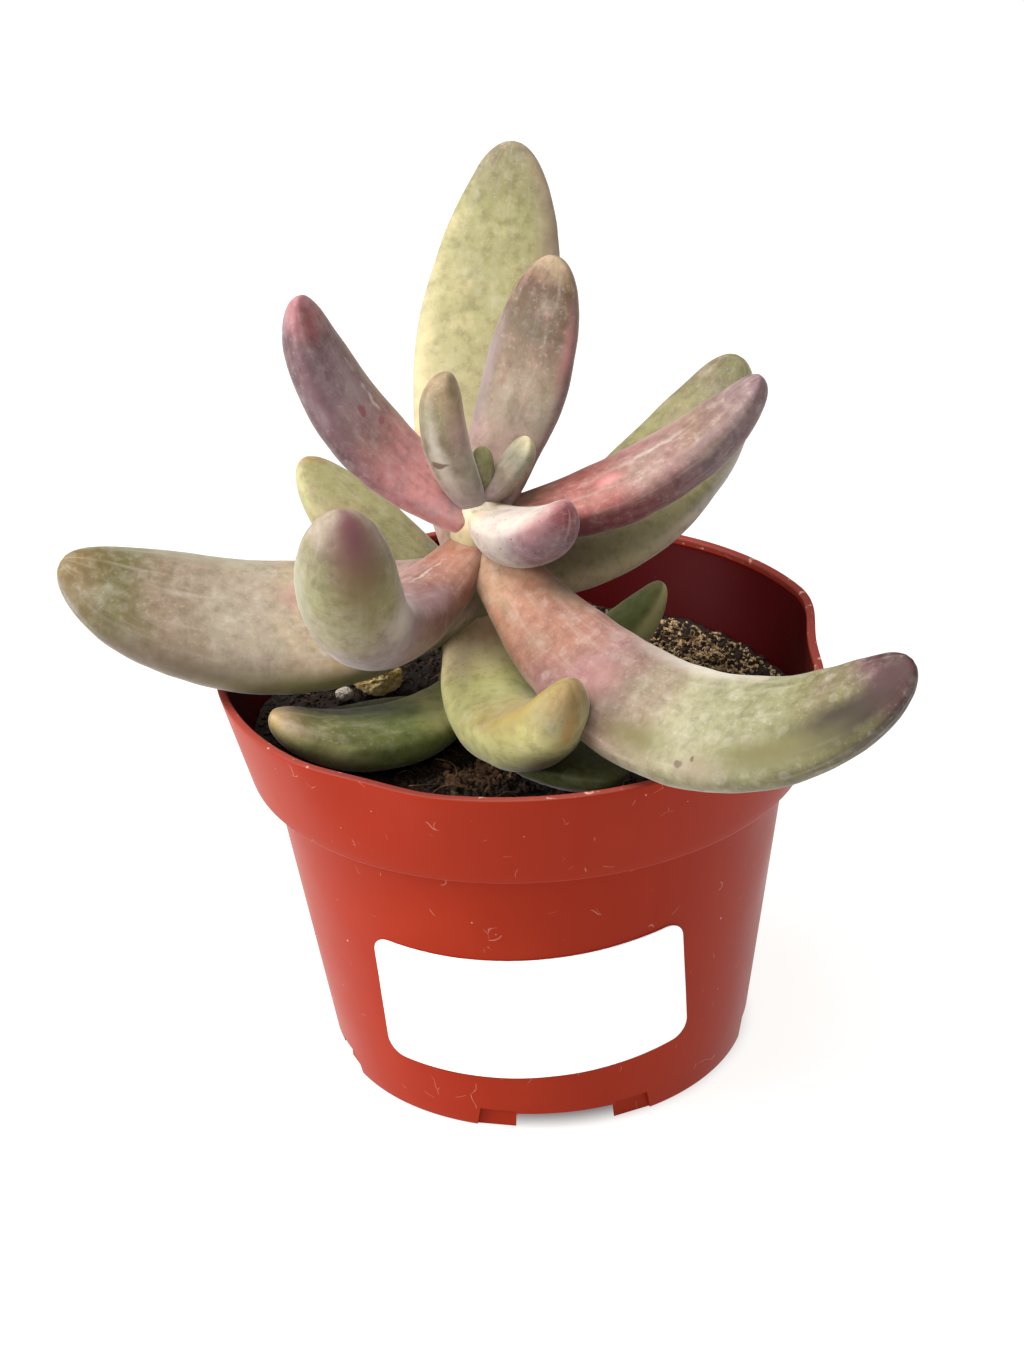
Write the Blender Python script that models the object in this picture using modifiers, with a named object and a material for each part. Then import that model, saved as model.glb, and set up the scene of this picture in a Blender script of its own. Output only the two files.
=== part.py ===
"""Potted pachysedum: a plastic nursery pot of soil with one short stem and its fleshy leaves.

Lengths in the constants are millimetres and angles are degrees. The pot stands on the plane z = 0.
The front of the plant, where the label is, faces -Y.
"""

import math
from collections import namedtuple

import bmesh
import bpy
import numpy as np
from mathutils import Matrix, Vector

MM = 0.001
WELD = 0.01 * MM

# Pot: a four inch nursery pot
RIM_RADIUS = 52.0
POT_HEIGHT = 72.2
COLLAR_FOOT_RADIUS = 47.5
COLLAR_FOOT_Z = 54.7
BODY_TOP_RADIUS = 44.0
BASE_RADIUS = 36.0
WALL = 1.2
LIP_WIDTH = 1.6
LIP_DEPTH = 1.4
LIP_ROUNDING = 0.4
FOOT_HEIGHT = 3.6
FOOT_WIDTH = 1.4
FOOT_DRAFT = 0.2
POT_STEPS = 64
COLLAR_ROWS = 4
SHARP_ANGLE = 25.0

# Arched gaps in the foot ring, and drain holes in the floor
ARCH_COUNT = 4
ARCH_FIRST_ANGLE = 5.0
ARCH_WIDTH = 17.0
ARCH_HEIGHT = 3.3
ARCH_DEPTH = 12.0
ARCH_SEGMENTS = 24
DRAIN_COUNT = 6
DRAIN_RING_RADIUS = 24.0
DRAIN_RADIUS = 2.5
DRAIN_SEGMENTS = 16

# The rim isn't quite round: (angle from the front towards +X, half-width of the dent, depth)
RIM_DENTS = ((88.0, 24.0, 3.1), (-31.5, 16.0, 1.1))

# The pot's axis, as seen from the middle of the plant's whole outline
POT_AXIS = (9.3, 7.9)

# Soil
SOIL_TOP = 58.0
SOIL_RELIEF = 0.6
SOIL_RING_STEP = 6.0
BROAD_MOUNDS = (5.1, 6.3)
SMALL_MOUNDS = (2.9, 3.7)

# Room left between pieces that touch, and between the soil and the pot's wall
GAP = 0.3
SOIL_GAP = 0.45

# Stem: points on its axis from its foot in the soil to its top, and its radius
STEM_AXIS = ((-12.0, 4.0, 40.0), (-11.0, 3.0, 59.0), (-8.0, 0.0, 80.0), (-6.0, -3.0, 101.0))
STEM_TOP = 102.0
STEM_RADIUS = 5.0
STEM_SQUARENESS = 12
STEM_MESH = (16, 16)

# Label
LABEL_WIDTH = 54.0
LABEL_HEIGHT = 25.4
LABEL_CORNER = 3.0
LABEL_THICKNESS = 0.3
LABEL_ANGLE = -2.5
LABEL_MIDDLE_Z = 24.3
LABEL_TILT = 2.3
LABEL_COLUMNS = 18
LABEL_ROWS = 4

# Each leaf leaves the stem at a height, with a heading (0 is +X, 90 is back, 180 is left and -90 is the
# front) and a rise, each as (at the foot, at the tip). Sway and bend above 1 put off the change of heading
# and of rise towards the tip. Foot is the foot's share of the full width, widest is where along the leaf the
# full width is, and tip is how blunt the end is.
Leaf = namedtuple(
    "Leaf",
    "name height heading rise length width thickness roll twist sway bend foot widest tip",
    defaults=(0.0, 0.0, 1.0, 1.0, 0.45, 0.5, 2.0),
)

LEAVES = (
    Leaf("leaf_back_tall", 89, (97, 44), (32, 80), 74, 23.5, 9, twist=25, foot=0.4, widest=0.56, tip=1.7),
    Leaf("leaf_back_inner", 96, (60, 30), (50, 74), 46, 16, 8, twist=20, widest=0.6),
    Leaf("leaf_left_upper", 98, (163, 162), (24, 80), 48, 15, 10, roll=-10, foot=0.55, widest=0.45),
    Leaf("leaf_young_upright", 100, (190, 165), (65, 95), 24, 9, 8, foot=0.5, tip=2.6),
    Leaf("leaf_young_small", 101, (20, 20), (38, 55), 13, 7, 5, foot=0.5, widest=0.6, tip=2.6),
    Leaf("leaf_bud", 102, (75, 75), (60, 80), 8, 4, 3.5, foot=0.5, tip=2.4),
    Leaf("leaf_front_cup", 99, (-56, -36), (-14, 50), 22.5, 12, 10, foot=0.5, tip=2.2),
    Leaf("leaf_right_upper", 97, (4, 4), (4, 50), 53, 14, 10, roll=10, bend=1.2, foot=0.5, widest=0.5),
    Leaf("leaf_right_behind", 87, (26, 34), (-7, 60), 62, 21, 12, roll=15),
    Leaf("leaf_left_behind", 76, (128, 150), (15, 46), 44, 18, 9),
    Leaf("leaf_front_hook", 94, (-138, -82), (-33, 88), 64, 16.5, 13, tip=2.4),
    Leaf("leaf_left_long", 86, (-170, -180), (-22, 38), 71.5, 25, 14, roll=-30),
    Leaf(
        "leaf_right_long", 94, (-60, 0), (-25, 48), 98, 20.5, 12,
        roll=30, sway=2.4, bend=1.6, foot=0.38, widest=0.6, tip=2.2,
    ),
    Leaf("leaf_front_curled", 82, (-90, -52), (-49, 64), 55, 17, 12, tip=2.2),
    Leaf("leaf_low_left", 66, (-118, -178), (-16, 32), 41, 16, 9, tip=2.2),
    Leaf("leaf_low_front", 65, (-62, -50), (-4, 5), 44, 16, 8, tip=2.2),
    Leaf("leaf_low_right", 67, (18, 22), (-22, 52), 40, 12, 8),
    Leaf("leaf_low_hidden", 62, (-160, -170), (0, 2), 34, 9, 5),
)

# The upper side of a leaf is flatter than its back, and its thickness has an outline of its own
UPPER_SHARE = 0.7
THICK_FOOT = 0.55
THICK_WIDEST = 0.5
THICK_TIP = 2.6
FOOT_CLOSING = 0.04
PATH_POINTS = 121
END_CROWDING = 0.6
LONG_LEAF = 30.0
LONG_LEAF_MESH = (14, 15)
SHORT_LEAF_MESH = (12, 10)

# A leaf on the left gives way to the leaf on the right where the two press together
GIVES_WAY = (
    ("leaf_back_tall", "leaf_back_inner"),
    ("leaf_back_tall", "leaf_right_behind"),
    ("leaf_back_tall", "leaf_left_long"),
    ("leaf_left_upper", "leaf_back_inner"),
    ("leaf_back_inner", "leaf_young_small"),
    ("leaf_back_inner", "leaf_right_upper"),
    ("leaf_back_inner", "leaf_front_cup"),
    ("leaf_left_upper", "leaf_young_upright"),
    ("leaf_young_upright", "leaf_bud"),
    ("leaf_young_small", "leaf_bud"),
    ("leaf_young_upright", "leaf_young_small"),
    ("leaf_right_upper", "leaf_front_cup"),
    ("leaf_left_upper", "leaf_front_cup"),
    ("leaf_young_small", "leaf_front_cup"),
    ("leaf_young_upright", "leaf_front_cup"),
    ("leaf_right_upper", "leaf_young_small"),
    ("leaf_right_long", "leaf_front_cup"),
    ("leaf_right_long", "leaf_right_upper"),
    ("leaf_right_behind", "leaf_right_long"),
    ("leaf_left_behind", "leaf_left_long"),
    ("leaf_left_long", "leaf_front_hook"),
    ("leaf_right_long", "leaf_front_hook"),
    ("leaf_left_long", "leaf_front_curled"),
    ("leaf_right_long", "leaf_front_curled"),
    ("leaf_low_front", "leaf_low_left"),
    ("leaf_low_front", "leaf_front_curled"),
    ("leaf_low_hidden", "leaf_low_left"),
    ("leaf_low_right", "leaf_low_front"),
)

# The exact solver loses these leaves, so their cuts use the manifold one
MANIFOLD_LEAVES = {"leaf_low_front", "leaf_low_right", "leaf_right_long"}

# Loose pieces on the soil: (x, y), half-sizes
STONE_PLACE = (-25.5, 12.0)
STONE_SIZE = (4.2, 3.4, 2.8)
GRAIN_PLACE = (-31.5, 10.0)
GRAIN_SIZE = (1.6, 1.4, 1.2)
PEBBLE_MESH = (12, 8)
PEBBLE_BUMPS = (0.08, 0.06)

# Roughness of each material
POT_ROUGHNESS = 0.38
SOIL_ROUGHNESS = 0.95
PLANT_ROUGHNESS = 0.55
LABEL_ROUGHNESS = 0.6
PEBBLE_ROUGHNESS = 0.8

# Colours as linear red, green and blue
POT_COLOUR = (0.60, 0.085, 0.045)
SOIL_COLOUR = (0.030, 0.018, 0.012)
STEM_COLOUR = (0.28, 0.27, 0.10)
LABEL_COLOUR = (0.85, 0.85, 0.84)
STONE_COLOUR = (0.62, 0.42, 0.18)
GRAIN_COLOUR = (0.75, 0.70, 0.62)
LEAF_GREEN = (0.36, 0.38, 0.22)
LEAF_PINK = (0.46, 0.28, 0.27)
LEAF_DARK = (0.14, 0.20, 0.09)
PINK_LEAVES = {
    "leaf_back_inner",
    "leaf_left_upper",
    "leaf_front_cup",
    "leaf_right_upper",
    "leaf_front_hook",
    "leaf_right_long",
}
DARK_LEAVES = {"leaf_low_left", "leaf_low_front", "leaf_low_right", "leaf_low_hidden", "leaf_bud"}


def clear_scene():
    for obj in list(bpy.data.objects):
        bpy.data.objects.remove(obj)


def new_collection(name):
    collection = bpy.data.collections.new(name)
    bpy.context.scene.collection.children.link(collection)
    return collection


def new_material(name, colour, roughness):
    material = bpy.data.materials.new(name)
    material.use_nodes = True
    shader = material.node_tree.nodes["Principled BSDF"]
    shader.inputs["Base Color"].default_value = (*colour, 1.0)
    shader.inputs["Roughness"].default_value = roughness
    shader.inputs["Metallic"].default_value = 0.0
    return material


def add_part(name, mesh, colour, roughness):
    """A visible sub-part in the plant's collection, with its own material."""
    part = bpy.data.objects.new(name, mesh)
    part.data.materials.append(new_material(name, colour, roughness))
    part.parent = plant
    parts.objects.link(part)
    return part


def add_cutter(name, mesh):
    cutter = bpy.data.objects.new(name, mesh)
    cutter.parent = plant
    cutter.hide_render = True
    cutter.display_type = "WIRE"
    cutters.objects.link(cutter)
    return cutter


def cut(part, cutter, solver="EXACT"):
    modifier = part.modifiers.new(f"cut by {cutter.name}", "BOOLEAN")
    modifier.operation = "DIFFERENCE"
    modifier.solver = solver
    modifier.object = cutter


def mesh_of(name, bm):
    """The finished mesh, with the faces of a closed body turned outwards."""
    if bm.calc_volume(signed=True) < 0.0:
        bmesh.ops.reverse_faces(bm, faces=bm.faces)
    for face in bm.faces:
        face.smooth = True
    mesh = bpy.data.meshes.new(name)
    bm.to_mesh(mesh)
    bm.free()
    return mesh


def mapped_sphere(name, segments, rings, place):
    """A sphere whose every point moves to place(share from the south pole to the north, angle round)."""
    bm = bmesh.new()
    bmesh.ops.create_uvsphere(bm, u_segments=segments, v_segments=rings, radius=1.0)
    for vert in bm.verts:
        share = math.acos(max(-1.0, min(1.0, -vert.co.z))) / math.pi
        angle = math.atan2(vert.co.y, vert.co.x)
        vert.co = place(share, angle) * MM
    return mesh_of(name, bm)


def turned(name, outline, steps):
    """The mesh of an outline of (radius, z) points turned about the Z axis."""
    bm = bmesh.new()
    verts = [bm.verts.new((radius * MM, 0.0, z * MM)) for radius, z in outline]
    for start, end in zip(verts, verts[1:]):
        bm.edges.new((start, end))
    mesh = bpy.data.meshes.new(f"{name} outline")
    bm.to_mesh(mesh)
    bm.free()
    guide = bpy.data.objects.new(f"{name} outline", mesh)
    cutters.objects.link(guide)
    screw = guide.modifiers.new("turn", "SCREW")
    screw.steps = steps
    screw.render_steps = steps
    screw.use_merge_vertices = True
    screw.merge_threshold = WELD
    bpy.context.view_layer.update()
    evaluated = guide.evaluated_get(bpy.context.evaluated_depsgraph_get())
    result = bpy.data.meshes.new_from_object(evaluated)
    result.name = name
    bpy.data.objects.remove(guide)
    return result


def eased(share):
    """0 below 0, 1 above 1, and smooth between."""
    share = min(1.0, max(0.0, share))
    return share * share * (3.0 - 2.0 * share)


def dent_at(x, y, z):
    """How far the collar is pushed in at a point. The dents fade out at the collar's foot."""
    angle = math.degrees(math.atan2(x, -y))
    depth = 0.0
    for middle, half_width, deepest in RIM_DENTS:
        off = abs(angle - middle) / half_width
        if off < 1.0:
            depth += deepest * math.cos(off * math.pi / 2.0) ** 2
    return depth * eased((z - COLLAR_FOOT_Z) / (POT_HEIGHT - COLLAR_FOOT_Z))


def push_in(mesh, inside_radius):
    """Moves the collar of a turned mesh inwards where it is dented."""
    for vert in mesh.vertices:
        x, y, z = vert.co / MM
        radius = math.hypot(x, y)
        if radius > inside_radius:
            scale = 1.0 - dent_at(x, y, z) / radius
            vert.co.x *= scale
            vert.co.y *= scale


def body_radius(z):
    return BASE_RADIUS + (BODY_TOP_RADIUS - BASE_RADIUS) * z / COLLAR_FOOT_Z


def collar_radius(z):
    share = (z - COLLAR_FOOT_Z) / (POT_HEIGHT - COLLAR_FOOT_Z)
    return COLLAR_FOOT_RADIUS + (RIM_RADIUS - COLLAR_FOOT_RADIUS) * share


def pot_outline():
    floor_top = FOOT_HEIGHT + WALL
    ledge_top = COLLAR_FOOT_Z + WALL
    lip_foot = POT_HEIGHT - LIP_DEPTH
    inside = [(collar_radius(z) - WALL, z) for z in np.linspace(ledge_top, lip_foot, COLLAR_ROWS)]
    shoulder = POT_HEIGHT - LIP_ROUNDING
    outside = [(collar_radius(z), z) for z in np.linspace(shoulder, COLLAR_FOOT_Z, COLLAR_ROWS)]
    return (
        (0.0, floor_top),
        (body_radius(floor_top) - WALL, floor_top),
        (body_radius(ledge_top) - WALL, ledge_top),
        *inside,
        (RIM_RADIUS - LIP_WIDTH, POT_HEIGHT),
        (RIM_RADIUS - LIP_ROUNDING, POT_HEIGHT),
        *outside,
        (BODY_TOP_RADIUS, COLLAR_FOOT_Z),
        (BASE_RADIUS, 0.0),
        (BASE_RADIUS - FOOT_WIDTH, 0.0),
        (body_radius(FOOT_HEIGHT) - FOOT_WIDTH - FOOT_DRAFT, FOOT_HEIGHT),
        (0.0, FOOT_HEIGHT),
    )


def arch_cutter():
    """The arched gaps of the foot ring as one mesh: low round tunnels that point at the axis."""
    bm = bmesh.new()
    for index in range(ARCH_COUNT):
        angle = math.radians(ARCH_FIRST_ANGLE + index * 360.0 / ARCH_COUNT)
        outward = Vector((math.sin(angle), -math.cos(angle), 0.0))
        turn = outward.to_track_quat("Z", "Y").to_matrix().to_4x4()
        shape = Matrix.Diagonal((ARCH_WIDTH / 2.0 * MM, ARCH_HEIGHT * MM, ARCH_DEPTH * MM, 1.0))
        place = Matrix.Translation(outward * BASE_RADIUS * MM)
        bmesh.ops.create_cone(
            bm,
            cap_ends=True,
            segments=ARCH_SEGMENTS,
            radius1=1.0,
            radius2=1.0,
            depth=1.0,
            matrix=place @ turn @ shape,
        )
    return add_cutter("foot arches", mesh_of("foot arches", bm))


def drain_cutter():
    bm = bmesh.new()
    for index in range(DRAIN_COUNT):
        angle = math.radians(index * 360.0 / DRAIN_COUNT)
        place = Vector((math.cos(angle), math.sin(angle), 0.0)) * DRAIN_RING_RADIUS
        place.z = FOOT_HEIGHT
        bmesh.ops.create_cone(
            bm,
            cap_ends=True,
            segments=DRAIN_SEGMENTS,
            radius1=DRAIN_RADIUS * MM,
            radius2=DRAIN_RADIUS * MM,
            depth=4.0 * WALL * MM,
            matrix=Matrix.Translation(place * MM),
        )
    return add_cutter("drain holes", mesh_of("drain holes", bm))


def build_pot():
    mesh = turned("pot", pot_outline(), POT_STEPS)
    push_in(mesh, 0.0)
    mesh.shade_smooth()
    mesh.set_sharp_from_angle(angle=math.radians(SHARP_ANGLE))
    pot = add_part("pot", mesh, POT_COLOUR, POT_ROUGHNESS)
    cut(pot, arch_cutter())
    cut(pot, drain_cutter())


def soil_height(x, y):
    """The soil's surface: low mounds."""
    broad = math.sin(x / BROAD_MOUNDS[0] + 0.7) * math.cos(y / BROAD_MOUNDS[1])
    small = math.sin(x / SMALL_MOUNDS[0] - y / SMALL_MOUNDS[1] + 2.0)
    return SOIL_TOP + SOIL_RELIEF * (broad + small / 2.0) / 1.5


def build_soil(stem_hole):
    clear = WALL + SOIL_GAP
    ledge = COLLAR_FOOT_Z + WALL + GAP
    bottom = FOOT_HEIGHT + WALL + GAP
    edge_z = SOIL_TOP - SOIL_RELIEF
    edge = collar_radius(edge_z) - clear
    radii = np.arange(0.0, edge - SOIL_RING_STEP / 2.0, SOIL_RING_STEP)
    outline = [(float(radius), SOIL_TOP) for radius in radii]
    outline += [
        (edge, edge_z),
        (collar_radius(ledge) - clear, ledge),
        (body_radius(ledge) - clear, ledge),
        (body_radius(bottom) - clear, bottom),
        (0.0, bottom),
    ]
    mesh = turned("soil", outline, POT_STEPS)
    for vert in mesh.vertices:
        x, y, z = vert.co / MM
        if z > SOIL_TOP - SOIL_RELIEF / 2.0:
            vert.co.z = soil_height(x, y) * MM
    push_in(mesh, body_radius(ledge))
    soil = add_part("soil", mesh, SOIL_COLOUR, SOIL_ROUGHNESS)
    cut(soil, stem_hole)


def stem_point(z):
    axis = np.array(STEM_AXIS)
    return Vector((np.interp(z, axis[:, 2], axis[:, 0]), np.interp(z, axis[:, 2], axis[:, 1]), z))


def stem_mesh(name, grow):
    """The stem, a little larger by grow. Its top is a low dome, and its foot is flat."""
    foot = STEM_AXIS[0][2] - grow
    top = STEM_TOP + grow

    def place(share, angle):
        z = foot + (top - foot) * share
        radius = (STEM_RADIUS + grow) * math.sqrt(max(0.0, 1.0 - abs(2.0 * share - 1.0) ** STEM_SQUARENESS))
        return stem_point(z) + Vector((math.cos(angle), math.sin(angle), 0.0)) * radius

    return mapped_sphere(name, *STEM_MESH, place)


def leaf_path(leaf):
    """Points and directions along a leaf, with its heading and rise at each, as arrays."""
    along = np.linspace(0.0, 1.0, PATH_POINTS)
    heading = np.radians(leaf.heading[0] + (leaf.heading[1] - leaf.heading[0]) * along**leaf.sway)
    rise = np.radians(leaf.rise[0] + (leaf.rise[1] - leaf.rise[0]) * along**leaf.bend)
    direction = np.stack(
        (np.cos(rise) * np.cos(heading), np.cos(rise) * np.sin(heading), np.sin(rise)), axis=1
    )
    steps = (direction[1:] + direction[:-1]) / 2.0 * leaf.length / (PATH_POINTS - 1)
    points = np.vstack((np.zeros(3), np.cumsum(steps, axis=0)))
    return along, points, heading, rise


def side_share(along, foot, widest, tip):
    """The share of the full width or thickness at a place along the leaf: a round tip and a closed foot."""
    if along < widest:
        share = foot + (1.0 - foot) * math.sin(along / widest * math.pi / 2.0)
    else:
        share = math.sqrt(max(0.0, 1.0 - ((along - widest) / (1.0 - widest)) ** tip))
    closing = min(1.0, along / FOOT_CLOSING)
    return share * math.sqrt(1.0 - (1.0 - closing) ** 2)


def leaf_mesh(name, leaf, grow):
    """A leaf, a little larger by grow, with its foot at the origin."""
    along, points, heading, rise = leaf_path(leaf)
    segments, rings = LONG_LEAF_MESH if leaf.length > LONG_LEAF else SHORT_LEAF_MESH

    def place(share, angle):
        crowded = (1.0 - math.cos(math.pi * share)) / 2.0
        at = share + END_CROWDING * (crowded - share)
        middle = Vector([np.interp(at, along, points[:, axis]) for axis in range(3)])
        turn = float(np.interp(at, along, heading))
        lift = float(np.interp(at, along, rise))
        ahead = Vector((math.cos(lift) * math.cos(turn), math.cos(lift) * math.sin(turn), math.sin(lift)))
        side = Vector((-math.sin(turn), math.cos(turn), 0.0))
        upper = ahead.cross(side)
        roll = math.radians(leaf.roll + leaf.twist * at)
        across = side * math.cos(roll) + upper * math.sin(roll)
        above = upper * math.cos(roll) - side * math.sin(roll)
        half_width = leaf.width / 2.0 * side_share(at, leaf.foot, leaf.widest, leaf.tip)
        half_thick = leaf.thickness / 2.0 * side_share(at, THICK_FOOT, THICK_WIDEST, THICK_TIP)
        if half_width > 0.0:
            half_width += grow
            half_thick += grow
        lobe = UPPER_SHARE if math.sin(angle) > 0.0 else 2.0 - UPPER_SHARE
        point = middle + across * math.cos(angle) * half_width + above * math.sin(angle) * lobe * half_thick
        return point + ahead * grow * (2.0 * share - 1.0)

    return mapped_sphere(name, segments, rings, place)


def leaf_colour(leaf):
    if leaf.name in PINK_LEAVES:
        return LEAF_PINK
    if leaf.name in DARK_LEAVES:
        return LEAF_DARK
    return LEAF_GREEN


def solver_for(name):
    return "MANIFOLD" if name in MANIFOLD_LEAVES else "EXACT"


def build_leaves(stem_seat):
    """Every leaf sits in its own place on the stem, and gives way to the neighbours that it presses on."""
    leaves = {}
    for leaf in LEAVES:
        part = add_part(leaf.name, leaf_mesh(leaf.name, leaf, 0.0), leaf_colour(leaf), PLANT_ROUGHNESS)
        part.location = stem_point(leaf.height) * MM
        cut(part, stem_seat, solver_for(leaf.name))
        leaves[leaf.name] = part
    by_name = {leaf.name: leaf for leaf in LEAVES}
    room = {}
    for name, neighbour in GIVES_WAY:
        if neighbour not in room:
            leaf = by_name[neighbour]
            room[neighbour] = add_cutter(f"room for {neighbour}", leaf_mesh(f"room {neighbour}", leaf, GAP))
            room[neighbour].location = stem_point(leaf.height) * MM
        cut(leaves[name], room[neighbour], solver_for(name))


def label_point(across, up, lift):
    """A point of the label's flat sheet, wrapped round the pot's cone and lifted off it."""
    slope = math.atan2(BODY_TOP_RADIUS - BASE_RADIUS, COLLAR_FOOT_Z)
    tilt = math.radians(LABEL_TILT)
    flat_x = across * math.cos(tilt) - up * math.sin(tilt)
    flat_y = across * math.sin(tilt) + up * math.cos(tilt)
    flat_y += body_radius(LABEL_MIDDLE_Z) / math.sin(slope)
    slant = math.hypot(flat_x, flat_y)
    angle = math.radians(LABEL_ANGLE) + math.atan2(flat_x, flat_y) / math.sin(slope)
    radius = slant * math.sin(slope)
    z = (radius - BASE_RADIUS) * COLLAR_FOOT_Z / (BODY_TOP_RADIUS - BASE_RADIUS)
    radius += lift * math.cos(slope)
    return Vector((radius * math.sin(angle), -radius * math.cos(angle), z - lift * math.sin(slope)))


def build_label():
    bm = bmesh.new()
    bmesh.ops.create_grid(bm, x_segments=LABEL_COLUMNS, y_segments=LABEL_ROWS, size=1.0)
    nip = LABEL_CORNER * (1.0 - math.sqrt(0.5))
    inner = LABEL_HEIGHT / 2.0 - LABEL_CORNER
    for vert in bm.verts:
        across = vert.co.x * LABEL_WIDTH / 2.0
        up = vert.co.y * inner * 2.0
        on_long_edge = abs(vert.co.y) > 0.9
        at_corner = on_long_edge and abs(vert.co.x) > 0.99
        if on_long_edge:
            up = math.copysign(LABEL_HEIGHT / 2.0, vert.co.y)
        if at_corner:
            up -= math.copysign(nip, up)
            across -= math.copysign(nip, across)
        vert.co = label_point(across, up, GAP) * MM
    bmesh.ops.recalc_face_normals(bm, faces=bm.faces)
    mesh = mesh_of("label", bm)
    label = add_part("label", mesh, LABEL_COLOUR, LABEL_ROUGHNESS)
    thicken = label.modifiers.new("paper thickness", "SOLIDIFY")
    thicken.thickness = LABEL_THICKNESS * MM
    thicken.offset = 1.0


def build_pebble(name, place, half_sizes, colour):
    """A rough pebble that rests on the soil."""

    def shaped(share, angle):
        lat = math.pi * (share - 0.5)
        bumps = 1.0 + PEBBLE_BUMPS[0] * math.sin(3.0 * angle + 5.0 * share)
        bumps += PEBBLE_BUMPS[1] * math.cos(5.0 * angle)
        x = half_sizes[0] * math.cos(lat) * math.cos(angle) * bumps
        y = half_sizes[1] * math.cos(lat) * math.sin(angle) * bumps
        return Vector((x, y, half_sizes[2] * math.sin(lat)))

    pebble = add_part(name, mapped_sphere(name, *PEBBLE_MESH, shaped), colour, PEBBLE_ROUGHNESS)
    rest = SOIL_TOP + SOIL_RELIEF + GAP + half_sizes[2]
    pebble.location = Vector((*place, rest)) * MM


clear_scene()
parts = new_collection("potted_pachysedum")
cutters = new_collection("cutters")
plant = bpy.data.objects.new("plant", None)
plant.location = (POT_AXIS[0] * MM, POT_AXIS[1] * MM, 0.0)
parts.objects.link(plant)

build_pot()
build_soil(add_cutter("stem hole", stem_mesh("stem hole", GAP)))
add_part("stem", stem_mesh("stem", 0.0), STEM_COLOUR, PLANT_ROUGHNESS)
build_leaves(add_cutter("stem seat", stem_mesh("stem seat", GAP)))
build_label()
build_pebble("stone", STONE_PLACE, STONE_SIZE, STONE_COLOUR)
build_pebble("perlite_grain", GRAIN_PLACE, GRAIN_SIZE, GRAIN_COLOUR)
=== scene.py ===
# %% [markdown]
# # Potted pachysedum
# A small succulent with fat, powdery leaves stands in a plastic nursery pot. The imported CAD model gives
# every size and place. This script dresses it: finer leaves, loose soil, moulded plastic and a paper label.
# Lengths in the script are millimetres and angles are degrees, and one factor turns them into metres.

# %% Load the frame
import math
from collections import namedtuple
from functools import partial

import bmesh
import bpy
import numpy as np
from mathutils import Euler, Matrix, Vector, noise


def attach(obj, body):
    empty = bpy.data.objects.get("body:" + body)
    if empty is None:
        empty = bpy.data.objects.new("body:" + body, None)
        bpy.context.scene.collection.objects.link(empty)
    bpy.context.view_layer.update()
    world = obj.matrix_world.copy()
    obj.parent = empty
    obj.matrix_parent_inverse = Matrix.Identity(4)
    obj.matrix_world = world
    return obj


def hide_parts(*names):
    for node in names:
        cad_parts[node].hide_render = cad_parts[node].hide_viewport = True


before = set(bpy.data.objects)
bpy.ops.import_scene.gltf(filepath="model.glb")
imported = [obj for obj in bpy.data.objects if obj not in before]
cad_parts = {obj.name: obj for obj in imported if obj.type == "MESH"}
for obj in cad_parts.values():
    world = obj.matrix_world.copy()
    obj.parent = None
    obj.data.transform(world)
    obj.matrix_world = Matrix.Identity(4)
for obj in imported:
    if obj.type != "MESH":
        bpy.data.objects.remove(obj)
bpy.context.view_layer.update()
MM = 0.001
print("CAD nodes:", len(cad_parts))

# %% [markdown]
# Colours are chosen as sRGB hex values, because that is what a picture shows. Blender mixes light in linear
# values, so one function turns each hex colour into linear red, green, blue and alpha.


# %% Colour helper
def linear(hex_colour):
    channels = [int(hex_colour[start : start + 2], 16) / 255.0 for start in (1, 3, 5)]
    turned = [c / 12.92 if c <= 0.04045 else ((c + 0.055) / 1.055) ** 2.4 for c in channels]
    return (*turned, 1.0)


# %% [markdown]
# Every material and every Geometry Nodes tree below is made with one small function. It adds a node, sets its
# properties, fills its inputs, and gives back one of its outputs. In each tree it goes by the name add.


# %% Node helper
def fill(node, inputs):
    """Links or sets a node's inputs, in order or by name. Text that starts with # is a colour."""
    for name, value in inputs.items() if isinstance(inputs, dict) else enumerate(inputs):
        if isinstance(value, bpy.types.NodeSocket):
            node.id_data.links.new(value, node.inputs[name])
        else:
            is_colour = isinstance(value, str) and value.startswith("#")
            node.inputs[name].default_value = linear(value) if is_colour else value


def add_node(tree, kind, inputs=(), output=0, **settings):
    node = tree.nodes.new(kind)
    for name, value in settings.items():
        setattr(node, name, value)
    fill(node, inputs)
    return node.outputs[output] if node.outputs else node


# %% [markdown]
# A material starts as its shader and its Object coordinates, which are real places in metres, so a pattern
# keeps its real size. Most finishes are then laid over each other like coats of paint: a tint goes on where
# some pattern is high, or low when the two limits are given the other way round.


# %% Finish helpers
def new_material(name):
    """A material, with its node adder, its shader and its Object coordinates."""
    material = bpy.data.materials.new(name)
    material.use_nodes = True
    add = partial(add_node, material.node_tree)
    shader = material.node_tree.nodes["Principled BSDF"]
    return material, add, shader, add("ShaderNodeTexCoord", output="Object")


def per(millimetres):
    """The scale of a texture whose features are this far apart."""
    return 1.0 / (millimetres * MM)


def tinted(add, colour, tint, pattern, low, high, strength=1.0, blend="MIX"):
    """A coat of tint over a colour, with its full strength where the pattern reaches high."""
    limits = (pattern, low, high, 0.0, strength)
    amount = add("ShaderNodeMapRange", limits, interpolation_type="SMOOTHSTEP")
    return add("ShaderNodeMix", {0: amount, 6: colour, 7: tint}, 2, data_type="RGBA", blend_type=blend)


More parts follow.
